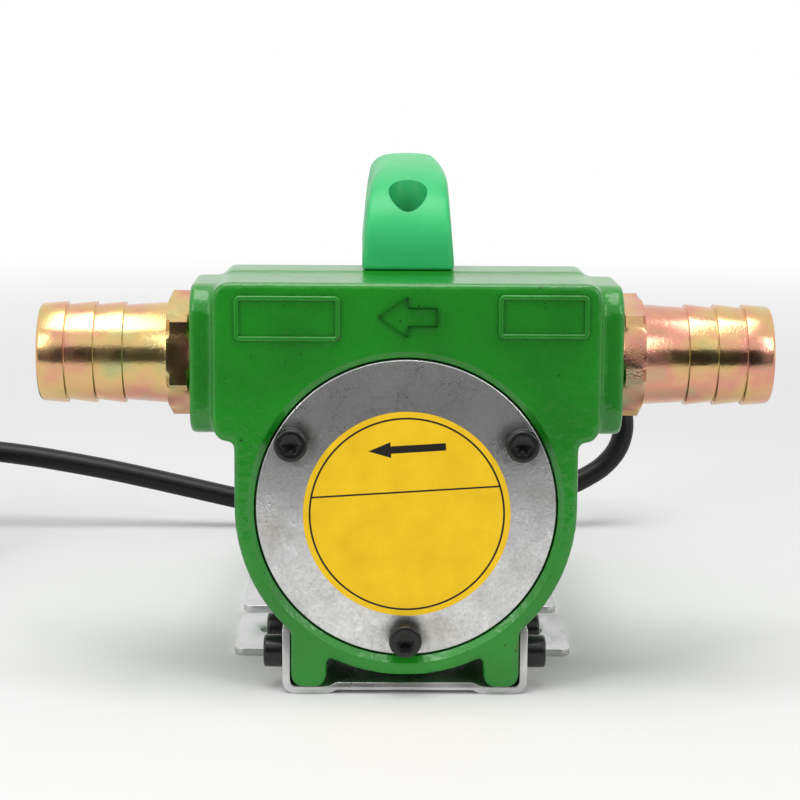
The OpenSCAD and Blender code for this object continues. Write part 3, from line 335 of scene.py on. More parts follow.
def label_film():
    mat = material("yellow_film", Roughness=0.45, Specular_IOR_Level=0.35)
    flat = coords(mat, (LABEL_X, 0, LABEL_Z), scale=(1, 0, 1))
    from_middle = node(mat, "VectorMath", {0: flat}, operation="LENGTH").outputs["Value"]
    ring = inside(mat, from_middle, RING_R, 0.25)
    slanted = node(mat, "SeparateXYZ", {0: coords(mat, (LABEL_X, 0, LABEL_Z), (0, SLANT, 0))})
    along, up = slanted.outputs[0], slanted.outputs[2]
    divider = maths(mat, "MULTIPLY", inside(mat, up, DIVIDER_UP, 0.23),
                    inside(mat, along, 0, DIVIDER_HALF_L))
    shaft = maths(mat, "MULTIPLY", inside(mat, up, ARROW_UP, 0.95),
                  inside(mat, along, SHAFT_X, SHAFT_L / 2))
    from_tip = maths(mat, "SUBTRACT", along, TIP * MM)
    off_line = maths(mat, "ABSOLUTE", maths(mat, "SUBTRACT", up, ARROW_UP * MM))
    head = maths(mat, "MULTIPLY", inside(mat, along, TIP + POINT_L / 2, POINT_L / 2),
                 maths(mat, "LESS_THAN", off_line, maths(mat, "MULTIPLY", from_tip, 0.36)))
    ink = ring
    for mark in (divider, shaft, head):
        ink = maths(mat, "MAXIMUM", ink, mark)
    where = coords(mat)
    film = ramp(mat, noise(mat, where, 120, 4, 0.6), [
        (0.3, (0.74, 0.45, 0.001)), (0.7, (0.84, 0.54, 0.004))])
    wire(mat, "Base Color", mix(mat, ink, film, (0.008, 0.007, 0.004)))
    wire(mat, "Normal", bump(mat, noise(mat, where, 150, 2), 0.05))
    return mat


FINISH["label_yellow"] = label_film()
print("label radius", LABEL_R)

# %% [markdown]
# ## Iridescent yellow zinc of the barbs
#
# The barbs are turned steel with yellow chromate over zinc: gold that drifts to pink and
# green where the film is thicker. Real thin films change colour with thickness, so one
# smooth noise drives a colour ramp through those hues, and a finer one adds scuffs.

# %% Barb zinc
def barb_zinc():
    mat = material("yellow_zinc", Metallic=1.0)
    where = coords(mat)
    film = noise(mat, where, 55, 3, 0.55)
    wire(mat, "Base Color", ramp(mat, film, [
        (0.3, (0.50, 0.50, 0.22)), (0.42, (0.70, 0.49, 0.20)), (0.5, (0.72, 0.42, 0.22)),
        (0.58, (0.72, 0.32, 0.23)), (0.7, (0.50, 0.40, 0.24))]))
    wire(mat, "Roughness", band(mat, noise(mat, where, 160, 4), 0.3, 0.7, 0.15, 0.27))
    rings = coords(mat, scale=(9, 1, 1))
    scuffs = bump(mat, noise(mat, where, 1500, 2), 0.03)
    wire(mat, "Normal", bump(mat, noise(mat, rings, 500, 2), 0.03, normal=scuffs))
    return mat


FINISH["barb_zinc"] = barb_zinc()
print("barb zinc ready")

# %% [markdown]
# ## Plain metals, rubber and plastics
#
# The other finishes are quieter: zinc sheet with its faint spangle, black oxide screws,
# bright ground steel, copper, brass, carbon. One function makes them all from a colour,
# a roughness and the size and depth of their grain, so that none is a flat colour.

# %% Plain finishes
def plain(slot, colour, rough, metal=0.0, grain=700, depth=0.01, spread=0.15,
          stretch=(1, 1, 1), shine=0.5):
    """A finish with clouded colour, broken roughness and a fine grain."""
    mat = material(slot, Metallic=metal, Specular_IOR_Level=shine)
    where = coords(mat, scale=stretch)
    cloud = noise(mat, where, grain / 5, 4)
    wire(mat, "Base Color", ramp(mat, cloud, [
        (0.3, [c * (1 - spread) for c in colour]), (0.7, [c * (1 + spread) for c in colour])]))
    wire(mat, "Roughness", band(mat, cloud, 0.3, 0.7, rough * 0.85, rough * 1.15))
    wire(mat, "Normal", bump(mat, noise(mat, where, grain, 3), depth))
    FINISH[slot] = mat


plain("sheet_zinc", grey(0.62), 0.3, 0.95, 500, 0.012)
plain("black_steel", (0.008, 0.008, 0.008), 0.26, 0.0, 900, 0.012, shine=0.4)
plain("rubber_black", grey(0.02), 0.6)
plain("rotor_iron", (0.2, 0.2, 0.21), 0.4, 0.9, 900, 0.02)
plain("vane_carbon", (0.05, 0.045, 0.04), 0.55)
plain("magnet_ferrite", grey(0.06), 0.6, grain=1200, depth=0.03)
plain("bright_steel", (0.6, 0.6, 0.61), 0.2, 1.0, 900, 0.006, stretch=(1, 12, 1))
plain("core_steel", (0.3, 0.31, 0.33), 0.35, 0.9, 900, 0.02, stretch=(1, 20, 1))
plain("copper", (0.72, 0.33, 0.16), 0.25, 1.0, 1500, 0.03)
plain("phenolic", (0.32, 0.16, 0.06), 0.45)
plain("brass", (0.78, 0.6, 0.28), 0.25, 1.0, 700, 0.008)
plain("brush_carbon", grey(0.03), 0.5)
plain("plastic_black", grey(0.018), 0.42, grain=1100, depth=0.012)
plain("rocker_red", (0.45, 0.02, 0.015), 0.28, grain=900, depth=0.006, spread=0.08)
plain("cord_black", (0.004, 0.004, 0.0045), 0.36, grain=900, depth=0.012, shine=0.25)
print("finishes:", len(FINISH))

# %% [markdown]
# ## Finishes for the CAD pieces
#
# Every CAD piece has a material slot in its record. Each gets the finish of that name in
# its object's slots, so whatever isn't replaced later is dressed too.

# %% Dress the CAD nodes
slots = {part["node"]: part["material_slot"] for part in frame["record"]["subparts"]}
for name, obj in frame["nodes"].items():
    obj.data.materials.clear()
    obj.data.materials.append(FINISH[slots[name]])
print("dressed", len(slots), "nodes")

# %% [markdown]
# ## Helpers for shapes
#
# Most pieces of a pump are turned on a lathe, bent or cast, so a few tools make nearly
# all of them. `turned` spins a profile of radius and height round an axis. `soften`
# bevels each sharp edge, because no real edge is perfectly sharp. `piece` puts a shape
# in the scene, on the body that it moves with, in place of its CAD node.

# %% Shape helpers
def hexed(bm, corner_r):
    """Pulls the rings of that radius in to a hexagon with its corners at that radius."""
    for v in bm.verts:
        if abs(math.hypot(v.co.x, v.co.y) - corner_r) < 1e-7:
            turn = math.atan2(v.co.y, v.co.x) % (TURN / 6) - TURN / 12
            pull = math.cos(TURN / 12) / math.cos(turn)
            v.co.x *= pull
            v.co.y *= pull


def turned(profile, steps=64, closed=False, hexes=()):
    """Spins (radius, height) points, in mm, round +Z."""
    bm = bmesh.new()
    points = [bm.verts.new((r * MM, 0, h * MM)) for r, h in profile]
    ends = zip(points, points[1:] + points[:1]) if closed else zip(points, points[1:])
    line = [bm.edges.new(pair) for pair in ends]
    bmesh.ops.spin(bm, geom=points + line, axis=(0, 0, 1), cent=(0, 0, 0), dvec=(0, 0, 0),
                   angle=TURN, steps=steps, use_merge=True, use_duplicate=False)
    bmesh.ops.remove_doubles(bm, verts=bm.verts, dist=1e-7)
    for radius in hexes:
        hexed(bm, radius * MM)
    bmesh.ops.recalc_face_normals(bm, faces=bm.faces)
    return bm


def aim(bm, place, towards):
    """Turns +Z towards a direction and moves the origin to a place."""
    turn = Vector(towards).to_track_quat("Z", "Y").to_matrix().to_4x4()
    bmesh.ops.transform(bm, matrix=Matrix.Translation(place) @ turn, verts=bm.verts)
    return bm


def soften(bm, width, segments=3):
    """Bevels every edge that folds more than 30 degrees."""
    least = math.radians(30)
    sharp = [e for e in bm.edges if e.is_manifold and e.calc_face_angle() > least]
    bmesh.ops.bevel(bm, geom=sharp, offset=width * MM, offset_type="OFFSET", segments=segments,
                    profile=0.5, affect="EDGES", clamp_overlap=True, material=-1)
    return bm


def as_mesh(name, bm):
    """A new mesh from a bmesh, which is freed."""
    mesh = bpy.data.meshes.new(name)
    bm.to_mesh(mesh)
    bm.free()
    return mesh


def joined(*parts):
    """One bmesh from several."""
    whole = bmesh.new()
    for part in parts:
        mesh = as_mesh("part", part)
        whole.from_mesh(mesh)
        bpy.data.meshes.remove(mesh)
    return whole


def piece(name, shape, slot, body, *nodes, sharp=35):
    """Puts a bmesh or mesh in the scene as a piece of the object."""
    mesh = as_mesh(name, shape) if isinstance(shape, bmesh.types.BMesh) else shape
    mesh.shade_smooth()
    mesh.set_sharp_from_angle(angle=math.radians(sharp))
    mesh.materials.clear()
    mesh.materials.append(FINISH[slot])
    obj = placed(name, mesh)
    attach(obj, body)
    if nodes:
        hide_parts(*nodes)
    print(name, len(mesh.polygons), "faces")
    return obj


# %% [markdown]
# ## The cord
#
# A mains cord is a fixed length of something springy, and that length has to go
# somewhere. This one leaves its strain relief at the back, droops over to the right,
# comes down, and runs left behind the pump, where it climbs on to a stored coil. The
# route is a list of points, and a Catmull-Rom curve goes smoothly through all of them.

# %% Free part of the cord
CORD_D = 7.2
ROUTE = [
    (11, 98, 74.8), (11, 106, 74.8), (12, 113.5, 75), (14.9, 120.5, 75), (19.5, 126.5, 74.6),
    (25.5, 131.1, 73.6), (32.5, 134, 71.8), (40, 135, 69), (48, 135.3, 65.6), (56.8, 135, 61.4),
    (65.8, 134.2, 56.4), (73, 133.4, 50), (77.4, 132.6, 42.8), (78.8, 131.8, 35.2),
    (77, 131, 27.9), (72.3, 130.3, 21.9), (65.9, 129.7, 17.6), (57.5, 129.1, 13.6),
    (48, 128.6, 10), (38.5, 128.3, 7.2), (29, 128, 5), (15, 128, 3.8), (1, 128, 3.7),
    (-13, 128, 3.9), (-27, 128, 5), (-41, 128, 7.3), (-55, 128, 10.2), (-69, 128, 13.4),
    (-84, 128, 16.8), (-98, 128, 19.8), (-112, 128, 22.4), (-126, 128, 24.7), (-140, 128, 26.4),
    (-154, 128, 27.4), (-168, 128, 27.7), (-180.8, 128, 27.7),
]


def through(points, steps):
    """More points, on a Catmull-Rom curve through these."""
    pts = [Vector(p) for p in points]
    pts = [2 * pts[0] - pts[1]] + pts + [2 * pts[-1] - pts[-2]]
    line = []
    for a, b, c, d in zip(pts, pts[1:], pts[2:], pts[3:]):
        for k in range(steps):
            t = k / steps
            line.append(0.5 * (2 * b + (c - a) * t + (2 * a - 5 * b + 4 * c - d) * t * t
                               + (3 * b - a - 3 * c + d) * t ** 3))
    return line + [pts[-2]]


free_part = through(ROUTE, 5)
print("free part:", len(free_part), "points")

# %% [markdown]
# ## The stored coil
#
# The rest of the cord lies in a neat round coil. Its turns spiral in and out again in
# four layers, from the top one down, as a hand lays them, and the tail runs off to the
# plug. A formula for radius and height gives each point of it.

# %% Coil and tail
COIL_TURNS, LAYERS, PITCH = 5.25, 4, 7.7
COIL_MID_R = 42
LAYER_TURNS = COIL_TURNS / LAYERS
COIL_R = COIL_MID_R + PITCH * LAYER_TURNS / 2
COIL_X, COIL_Y = -188.0, 128 - COIL_R
COIL_TOP, COIL_LIFT = 27.7, 1.0


def ease(x):
    return (1 - math.cos(math.pi * min(max(x, 0), 1))) / 2


def coil_point(turn):
    """The cord's middle after that many turns."""
    layer = math.floor(turn / LAYER_TURNS)
    rest = turn - layer * LAYER_TURNS
    swing = rest if layer % 2 == 0 else LAYER_TURNS - rest
    down = sum(ease((turn - k * LAYER_TURNS) * 2 + 0.5) for k in range(1, LAYERS))
    radius, angle = COIL_R - PITCH * swing, TURN / 4 + TURN * turn
    return (COIL_X + radius * math.cos(angle), COIL_Y + radius * math.sin(angle),
            COIL_TOP - PITCH * down)


COIL_STEPS = 252
coil = [coil_point(COIL_TURNS * i / COIL_STEPS) for i in range(COIL_STEPS)]
TAIL_X, LOW_Z, PLUG_Z = COIL_X - COIL_R, 4.6, 10.0
RISE = PLUG_Z - LOW_Z
tail = [(TAIL_X, COIL_Y - k * CORD_D, LOW_Z + RISE * up)
        for k, up in enumerate((0, 0, 0.3, 0.75, 1, 1))]
cord_line = free_part + [Vector(p) for p in coil] + through(tail, 4)
cord_length = sum((b - a).length for a, b in zip(cord_line, cord_line[1:]))
print("cord length", round(cord_length), "mm")

# %% [markdown]
# ## Making the cord a curve
#
# A Blender curve with a round bevel is the simplest tube: its line is the cord's middle
# and its bevel depth half its thickness.

# %% Cord curve
cord_curve = bpy.data.curves.new("power_cord", "CURVE")
cord_curve.dimensions = "3D"
cord_curve.bevel_depth = CORD_D / 2 * MM
cord_curve.bevel_resolution = 4
cord_curve.use_fill_caps = True
spline = cord_curve.splines.new("POLY")
spline.points.add(len(cord_line) - 1)
for point, place in zip(spline.points, cord_line):
    point.co = (*(place * MM), 1)
spline.use_smooth = True
cord_curve.materials.append(FINISH["cord_black"])
cord = placed("power_cord", cord_curve)
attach(cord, "pump")
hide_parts("cord", "cord_coil")
print("cord curve:", len(spline.points), "points")

# %% [markdown]
# ## The plug
#
# The plug is moulded round the cord's end: a round neck that swells into a flat grip.
# It is lofted: a ring of vertices is extruded again and again, and each new ring gets
# its own width, height and squareness.

# %% Plug
PLUG_Y = COIL_Y - 5 * CORD_D
PLUG_L = 38


def squarish(ring, width, height, power):
    """Gives a ring round the Z axis a width, a height and squarer corners."""
    for v in ring:
        angle = math.atan2(v.co.y, v.co.x)
        c, s = math.cos(angle), math.sin(angle)
        reach = (abs(c) ** power + abs(s) ** power) ** (-1 / power)
        v.co.x, v.co.y = width / 2 * c * reach * MM, height / 2 * s * reach * MM


def lofted(rings):
    """Rings (height along +Z, width, height, power), in mm, joined and closed."""
    count = 40
    bm = bmesh.new()
    ring = bmesh.ops.create_circle(bm, cap_ends=True, segments=count, radius=MM)["verts"]
    edges = list(bm.edges)
    shapes = [list(ring)]
    for _ in rings[1:]:
        made = bmesh.ops.extrude_edge_only(bm, edges=edges)["geom"]
        edges = [g for g in made if isinstance(g, bmesh.types.BMEdge)]
        shapes.append([g for g in made if isinstance(g, bmesh.types.BMVert)])
    for verts, (along, width, height, power) in zip(shapes, rings):
        squarish(verts, width, height, power)
        for v in verts:
            v.co.z = along * MM
    bmesh.ops.holes_fill(bm, edges=edges, sides=count)
    bmesh.ops.recalc_face_normals(bm, faces=bm.faces)
    return bm


grip = lofted([
    (0, 8.6, 8.6, 2), (0.6, 9.4, 9.4, 2), (4, 10.4, 10, 2), (8, 12.4, 11.4, 2.2),
    (11, 15, 13, 2.5), (14, 18.6, 15.6, 2.8), (17, 22.4, 18, 3.2), (20, 24.8, 19.2, 3.6),
    (24, 25.8, 19.8, 4), (34, 26, 20, 4.2), (36.6, 25.6, 19.6, 4.2), (PLUG_L, 23.6, 17.6, 4.2)])
aim(grip, Vector((TAIL_X, PLUG_Y, PLUG_Z)) * MM, (0, -1, 0))
plug = piece("plug_grip", grip, "cord_black", "pump", "plug_body", sharp=50)

# %% [markdown]
# ## The plug's blades
#
# Two flat blades and a round earth pin stick out of the plug's face. Each blade is a
# short bar with softened edges; a real one is stamped from brass and then tumbled.

# %% Plug blades
def box(size, middle):
    """A block, in mm, about a middle that is already in metres."""
    bm = bmesh.new()
    bmesh.ops.create_cube(bm, size=1, matrix=Matrix.Translation(middle)
                          @ Matrix.Diagonal((*(s * MM for s in size), 1)))
    return bm


BLADE_L, BLADE_W, BLADE_T = 17, 6.3, 1.5
BLADE_X, ROOT = 6.35, 2  # half the blades' distance, and how deep they are moulded in
FACE_Y = PLUG_Y - PLUG_L
blades = [
    soften(box((BLADE_T, BLADE_L + ROOT, BLADE_W), Vector(
        (TAIL_X + side * BLADE_X, FACE_Y + (ROOT - BLADE_L) / 2, PLUG_Z + 2)) * MM), 0.4)
    for side in (-1, 1)]
pin = turned([(0, -ROOT), (2.4, -ROOT), (2.4, 15.2), (1.9, 16.5), (1, BLADE_L), (0, BLADE_L)], 32)
blades.append(aim(pin, Vector((TAIL_X, FACE_Y, PLUG_Z - 4)) * MM, (0, -1, 0)))
plug_blades = piece("plug_pins", joined(*blades), "brass", "pump", "plug_blades")

# %% [markdown]
# ## The coil's tie
#
# A rubber strap holds the coil together. It starts as a rectangle whose corners are
# bevelled round, the loop is extruded to the strap's width and then given a thickness.

# %% Coil tie
TIE_W, TIE_H, TIE_L, TIE_T = 15.7, 30.7, 9.0, 0.8
tie = bmesh.new()
bmesh.ops.create_grid(tie, x_segments=1, y_segments=1, size=0.5)
bmesh.ops.scale(tie, vec=((TIE_W + TIE_T) * MM, (TIE_H + TIE_T) * MM, 1), verts=tie.verts)
bmesh.ops.bevel(tie, geom=tie.verts[:], offset=4.5 * MM, offset_type="OFFSET", segments=6,
                profile=0.5, affect="VERTICES", material=-1)
bmesh.ops.delete(tie, geom=tie.faces[:], context="FACES_ONLY")
loop = bmesh.ops.extrude_edge_only(tie, edges=tie.edges[:])["geom"]
bmesh.ops.translate(tie, vec=(0, 0, TIE_L * MM),
                    verts=[g for g in loop if isinstance(g, bmesh.types.BMVert)])
bmesh.ops.recalc_face_normals(tie, faces=tie.faces)
bmesh.ops.solidify(tie, geom=tie.faces[:], thickness=TIE_T / 2 * MM)
stand = Matrix(((0, 0, 1), (1, 0, 0), (0, 1, 0))).to_4x4()  # the strap's width lies along X
TIE_R = 42.24  # the middle of the bundle that it holds
tie_place = Vector((COIL_X - TIE_L / 2, COIL_Y - TIE_R, COIL_LIFT - 0.2 + TIE_H / 2)) * MM
bmesh.ops.transform(tie, matrix=Matrix.Translation(tie_place) @ stand, verts=tie.verts)
strap = piece("cord_strap", tie, "plastic_black", "pump", "coil_tie")

# %% [markdown]
# ## The strain relief
#
# Where the cord leaves the motor's rear cover, a ribbed rubber sleeve keeps it from
# bending sharply. It is turned, with a groove between each two ribs, and it tapers so
# that it bends a little more towards its end.

# %% Strain relief
REAR_END = 152
GLAND_X, GLAND_Z = 11, 74.8
RIBS, RIB_PITCH = 6, 3
sleeve = [(0, -6), (8, -6), (8, -3.1), (5.9, -3.1), (5.9, 0), (8, 0), (8, 1.4), (7.4, 2), (6, 2)]
for rib in range(RIBS):
    start = 3.2 + RIB_PITCH * rib
    for along, depth in ((0, 0), (0.35, 0.9), (1.1, 0.9), (1.45, 0)):
        sleeve.append((6 - 1.3 * (start + along - 2) / 20 - depth, start + along))
sleeve += [(4.75, 21.4), (4.3, 22), (0, 22)]
gland = aim(turned(sleeve, 48), spot(GLAND_X, REAR_END, GLAND_Z), (0, 1, 0))
relief = piece("strain_relief", gland, "plastic_black", "pump", "cord_gland")
print("cord declared, exit", tuple(cord_line[0]))

# %% [markdown]
# ## The cast casing
#
# A casting has no sharp corners: the sand mould rounds every edge and fills every
# corner. Bevelling each edge by hand would take long and still miss the blends between
# shapes. A voxel remesh of the CAD shape, smoothed a few times, rounds all of them at
# once, as wax would. Round openings that are machined later, such as the cover's
# recess, are filled before that and cut crisply afterwards.

# %% Voxel tools
def merged(*names):
    """Copies of CAD nodes as one bmesh, with their loose triangles joined."""
    bm = bmesh.new()
    for name in names:
        bm.from_mesh(frame["nodes"][name].data)
    bmesh.ops.remove_doubles(bm, verts=bm.verts, dist=1e-6)
    return bm


def applied(mesh, kind, **settings):
    """A mesh with one modifier applied."""
    work = placed("work", mesh)
    modifier = work.modifiers.new("work", kind)
    for key, value in settings.items():
        setattr(modifier, key, value)
    bpy.context.view_layer.update()
    depsgraph = bpy.context.evaluated_depsgraph_get()
    made = bpy.data.meshes.new_from_object(work.evaluated_get(depsgraph))
    bpy.data.objects.remove(work)
    return made


def waxed(bm, voxel, rounds):
    """The shape remeshed in voxels of that size, in mm, and smoothed."""
    mesh = applied(as_mesh("wax", bm), "REMESH", mode="VOXEL", voxel_size=voxel * MM)
    soft = bmesh.new()
    soft.from_mesh(mesh)
    for _ in range(rounds):
        bmesh.ops.smooth_vert(soft, verts=soft.verts, factor=0.5,
                              use_axis_x=True, use_axis_y=True, use_axis_z=True)
    soft.to_mesh(mesh)
    soft.free()
    return mesh


def carved(mesh, tool, operation="DIFFERENCE"):
    """The mesh with a tool's shape cut away from it, or only what lies in both."""
    cutter = placed("tool", as_mesh("tool", tool))
    made = applied(mesh, "BOOLEAN", operation=operation, solver="EXACT", object=cutter)
    bpy.data.objects.remove(cutter)
    return made


def cylinder(radius, length, start, towards):
    """A round bar, in mm, that starts at a place."""
    return aim(turned([(0, 0), (radius, 0), (radius, length), (0, length)], 96), start, towards)


BACK = (0, 1, 0)
print("voxel tools ready")

# %% [markdown]
# ## Casing: body, bosses and feet
#
# The copy's raised frames are pressed flat first, because they are finer than a voxel
# and are made again afterwards. One plug fills the cover's recess and another the pump
# chamber. Only the recess is cut again, because the cover hides the chamber.

# %% Casing
VOXEL = 0.72
RECESS_R, RECESS_D = 38.7, 5.95
CHAMBER_R, CHAMBER_U, CHAMBER_D = 31, 5, 27  # a little larger than the chamber
casing = merged("pump_casing")
for v in casing.verts:
    v.co.y = max(v.co.y, FRONT * MM)
casing = joined(
    casing,
    cylinder(40.4, 6.6, spot(0, 0, COVER_Z), BACK),
    cylinder(CHAMBER_R, CHAMBER_D, spot(0, CHAMBER_U, COVER_Z), BACK))
casing = waxed(casing, VOXEL, 6)
recess = turned([
    (0, -2), (RECESS_R + 2.7, -2), (RECESS_R + 2.7, -0.6), (RECESS_R + 1.6, 0),
    (RECESS_R, 1.3), (RECESS_R, RECESS_D), (0, RECESS_D)], 180)
casing = carved(casing, aim(recess, spot(0, 0, COVER_Z), BACK))
piece("casing_body", casing, "enamel_green", "pump", "pump_casing", sharp=38)

# %% [markdown]
# ## Casing: frames and arrow
#
# Two plain frames and a flow arrow stand up from the front by less than a millimetre.
# Each starts as a flat outline. A bevel rounds the frames' corners, an inset makes the
# narrow band, and the band is extruded and softened. The arrow's corners stay as they
# are: an inset wider than a corner's round would fold over itself there.

# %% Frames and arrow
RIDGE_W, RIDGE_H, SUNK = 1.2, 0.9, 0.25  # SUNK is how far it reaches into the casing


def ridge(outline, corner=1.4):
    """A raised line along an outline of (x, z) points, in mm, on the front face."""
    bm = bmesh.new()
    bm.faces.new([bm.verts.new(spot(x, SUNK, z)) for x, z in outline])
    if corner:
        bmesh.ops.bevel(bm, geom=bm.verts[:], offset=corner * MM, offset_type="OFFSET", segments=4,
                        profile=0.5, affect="VERTICES", material=-1)
    face = bm.faces[:][0]
    bmesh.ops.inset_region(bm, faces=[face], thickness=RIDGE_W * MM, depth=0,
                           use_boundary=True, use_even_offset=True)
    bmesh.ops.delete(bm, geom=[face], context="FACES_ONLY")
    raised = bmesh.ops.extrude_face_region(bm, geom=bm.faces[:])["geom"]
    bmesh.ops.translate(bm, vec=(0, -(RIDGE_H + SUNK) * MM, 0),
                        verts=[g for g in raised if isinstance(g, bmesh.types.BMVert)])
    bmesh.ops.recalc_face_normals(bm, faces=bm.faces)
    return soften(bm, 0.38, 3)


def oblong(x, z, width, height):
    return [(x - width / 2, z - height / 2), (x + width / 2, z - height / 2),
            (x + width / 2, z + height / 2), (x - width / 2, z + height / 2)]


ARROW_Z = 97.8
arrow = [(x, ARROW_Z + z) for x, z in (
    (-7.5, 0), (0.1, -5.15), (0.1, -2.3), (7.5, -2.3), (7.5, 2.3), (0.1, 2.3), (0.1, 5.15))]
FIELDS = ((-30.2, 97.4, 26.6, 11.4), (34.2, 98.1, 22.8, 11))  # middle x, z, width, height
ridges = joined(*(ridge(oblong(*field)) for field in FIELDS), ridge(arrow, corner=0))
piece("front_ridges", ridges, "enamel_green", "pump")

# %% [markdown]
# ## The cover
#
# The cover is a steel disc turned on a lathe, with a small round on its front edge that
# catches the light. It stands one millimetre inside the casing's rim.

# %% Cover disc
COVER_R, COVER_INSET, COVER_SEAT = 38.2, 1, 5.97
disc = turned([(0, COVER_INSET), (COVER_R, COVER_INSET),
               (COVER_R, COVER_SEAT), (0, COVER_SEAT)], 180)
soften(disc, 0.4, 3)
aim(disc, spot(0, 0, COVER_Z), BACK)
piece("cover_disc", disc, "cover_zinc", "pump", "front_cover")

# %% [markdown]
# ## Socket screws
#
# Every screw of the pump is a cylinder head screw with a hexagon socket. One profile is
# spun for all of them; then the socket's ring of vertices is pulled in to a hexagon,
# which leaves flat walls without a separate cut.

# %% Screw maker
HEAD_R, HEAD_H, SOCKET_R = 4.2, 5.0, 4 / 2 / math.cos(TURN / 12)


def screw(place, towards, length):
    """A socket screw: `place` is under its head, `towards` is where its head points."""
    shank = 2.4
    bm = turned([
        (0, 2.2), (SOCKET_R * 0.6, 2.5), (SOCKET_R, 2.75), (SOCKET_R, 4.8),
        (SOCKET_R + 0.25, HEAD_H), (HEAD_R - 0.75, HEAD_H), (HEAD_R - 0.3, 4.87),
        (HEAD_R - 0.08, 4.6), (HEAD_R, 4.2),
        (HEAD_R, 0.3), (HEAD_R - 0.25, 0), (shank, 0), (shank, -length + 0.5),
        (shank - 0.5, -length), (0, -length)], 48, hexes=(SOCKET_R,))
    return aim(bm, place, towards)


FORWARD = (0, -1, 0)
seats = [spot(SCREW_CIRCLE * math.cos(a), COVER_INSET, COVER_Z + SCREW_CIRCLE * math.sin(a))
         for a in SCREW_ANGLES]
heads = [screw(seat, FORWARD, 12.9) for seat in seats]
piece("cover_bolts", joined(*heads), "black_steel", "pump", "cover_screws")

# %% [markdown]
# ## Foot screws and handle screws
#
# Four screws go through the base plate's walls into the casing's feet, and one stands
# deep in the hole of each foot of the handle.

# %% Other screws
WALL_X, FOOT_SCREW_Z = 31.5, 9.7
feet = [screw(spot(side * WALL_X, depth, FOOT_SCREW_Z), (side, 0, 0), 8)
        for side in (-1, 1) for depth in (8, 30.5)]
piece("foot_bolts", joined(*feet), "black_steel", "pump", "foot_screws")
HOLES = ((34.8, 112.8), (133.2, 102.8))  # depth and seat height of the handle's screws
grips = [screw(spot(0, depth, seat), (0, 0, 1), 14.4) for depth, seat in HOLES]
piece("handle_bolts", joined(*grips), "black_steel", "pump", "handle_screws")

# %% [markdown]
# ## The hose barbs
#
# Each barb is one turned bar: a hexagon for the spanner, a cone, three ridges that grip
# the hose, and a bore right through. The profile is a closed loop, so the spin gives a
# tube. The hexagon is made as the screws' sockets are.

# %% Barbs
HEX_R = 28 / 2 / math.cos(TURN / 12)
BOSS_X, PORT_U, PORT_Z = 55.2, 24, 85.5
barb_profile = [(9.5, -14), (11, -14), (12.15, -12.7), (12.15, 0), (14.3, 0), (HEX_R, 0.9),
                (HEX_R, 5.3), (14.3, 6.2), (13.3, 6.25), (13.1, 6.7), (12.35, 17.4)]
for ridge_at, root in ((17.6, 12.35), (25.1, 12.35), (32.6, 12.7)):
    barb_profile += [(12.5, ridge_at), (13.15, ridge_at + 0.05), (13.17, ridge_at + 0.35),
                     (root, ridge_at + (7.3 if root < 12.5 else 6.3))]
barb_profile += [(12.4, 39.4), (12.1, 39.6), (9.9, 39.6), (9.5, 39.2)]


def barb(side, turn):
    bm = turned(barb_profile, 96, closed=True, hexes=(HEX_R,))
    bmesh.ops.rotate(bm, cent=(0, 0, 0), matrix=Matrix.Rotation(turn, 3, "Z"), verts=bm.verts)
    return aim(bm, spot(side * BOSS_X, PORT_U, PORT_Z), (side, 0, 0))


left_turn = TURN / 12 + math.radians(6)
piece("left_barb", barb(-1, left_turn), "barb_zinc", "pump", "outlet_barb", sharp=28)
piece("right_barb", barb(1, math.radians(15)), "barb_zinc", "pump", "inlet_barb", sharp=28)

# %% [markdown]
# ## The base plate
#
# The base is 2 mm zinc-plated sheet, cut and folded. The CAD copy has the folds and the
# holes already. Its flat triangles are dissolved into whole faces, so that a small bevel
# can run along every cut edge.

# %% Base plate
def sheared(name, width, segments=2):
    """A CAD node's shape with whole faces and softened edges."""
    bm = merged(name)
    bmesh.ops.dissolve_limit(bm, angle_limit=math.radians(0.5), verts=bm.verts, edges=bm.edges,
                             use_dissolve_boundaries=False, delimit=set())
    return soften(bm, width, segments)


piece("folded_base", sheared("base_plate", 0.3), "sheet_zinc", "pump", "base_plate")

# %% [markdown]
# ## The handle
#
# The handle is one moulding with a very round top. It is waxed like the casing, with its
# two screw holes filled first. The fillers must not stand out of the arch, so each is
# cut to the handle's convex hull. The crown is then lowered towards its sides, and the
# arch is moved to the right by one or two millimetres to match the outline that the real
# one shows from the front. The holes are cut last, again with crisp edges.

# %% Handle
HOLE_R, HOLE_L = 5.1, 40


def hull_of(bm):
    """The tightest convex shape round a bmesh."""
    hull = bmesh.new()
    for v in bm.verts:
        hull.verts.new(v.co)
    made = bmesh.ops.convex_hull(hull, input=hull.verts)
    inner = {g for g in made["geom_interior"] + made["geom_unused"]
             if isinstance(g, bmesh.types.BMVert)}
    bmesh.ops.delete(hull, geom=list(inner), context="VERTS")
    return hull


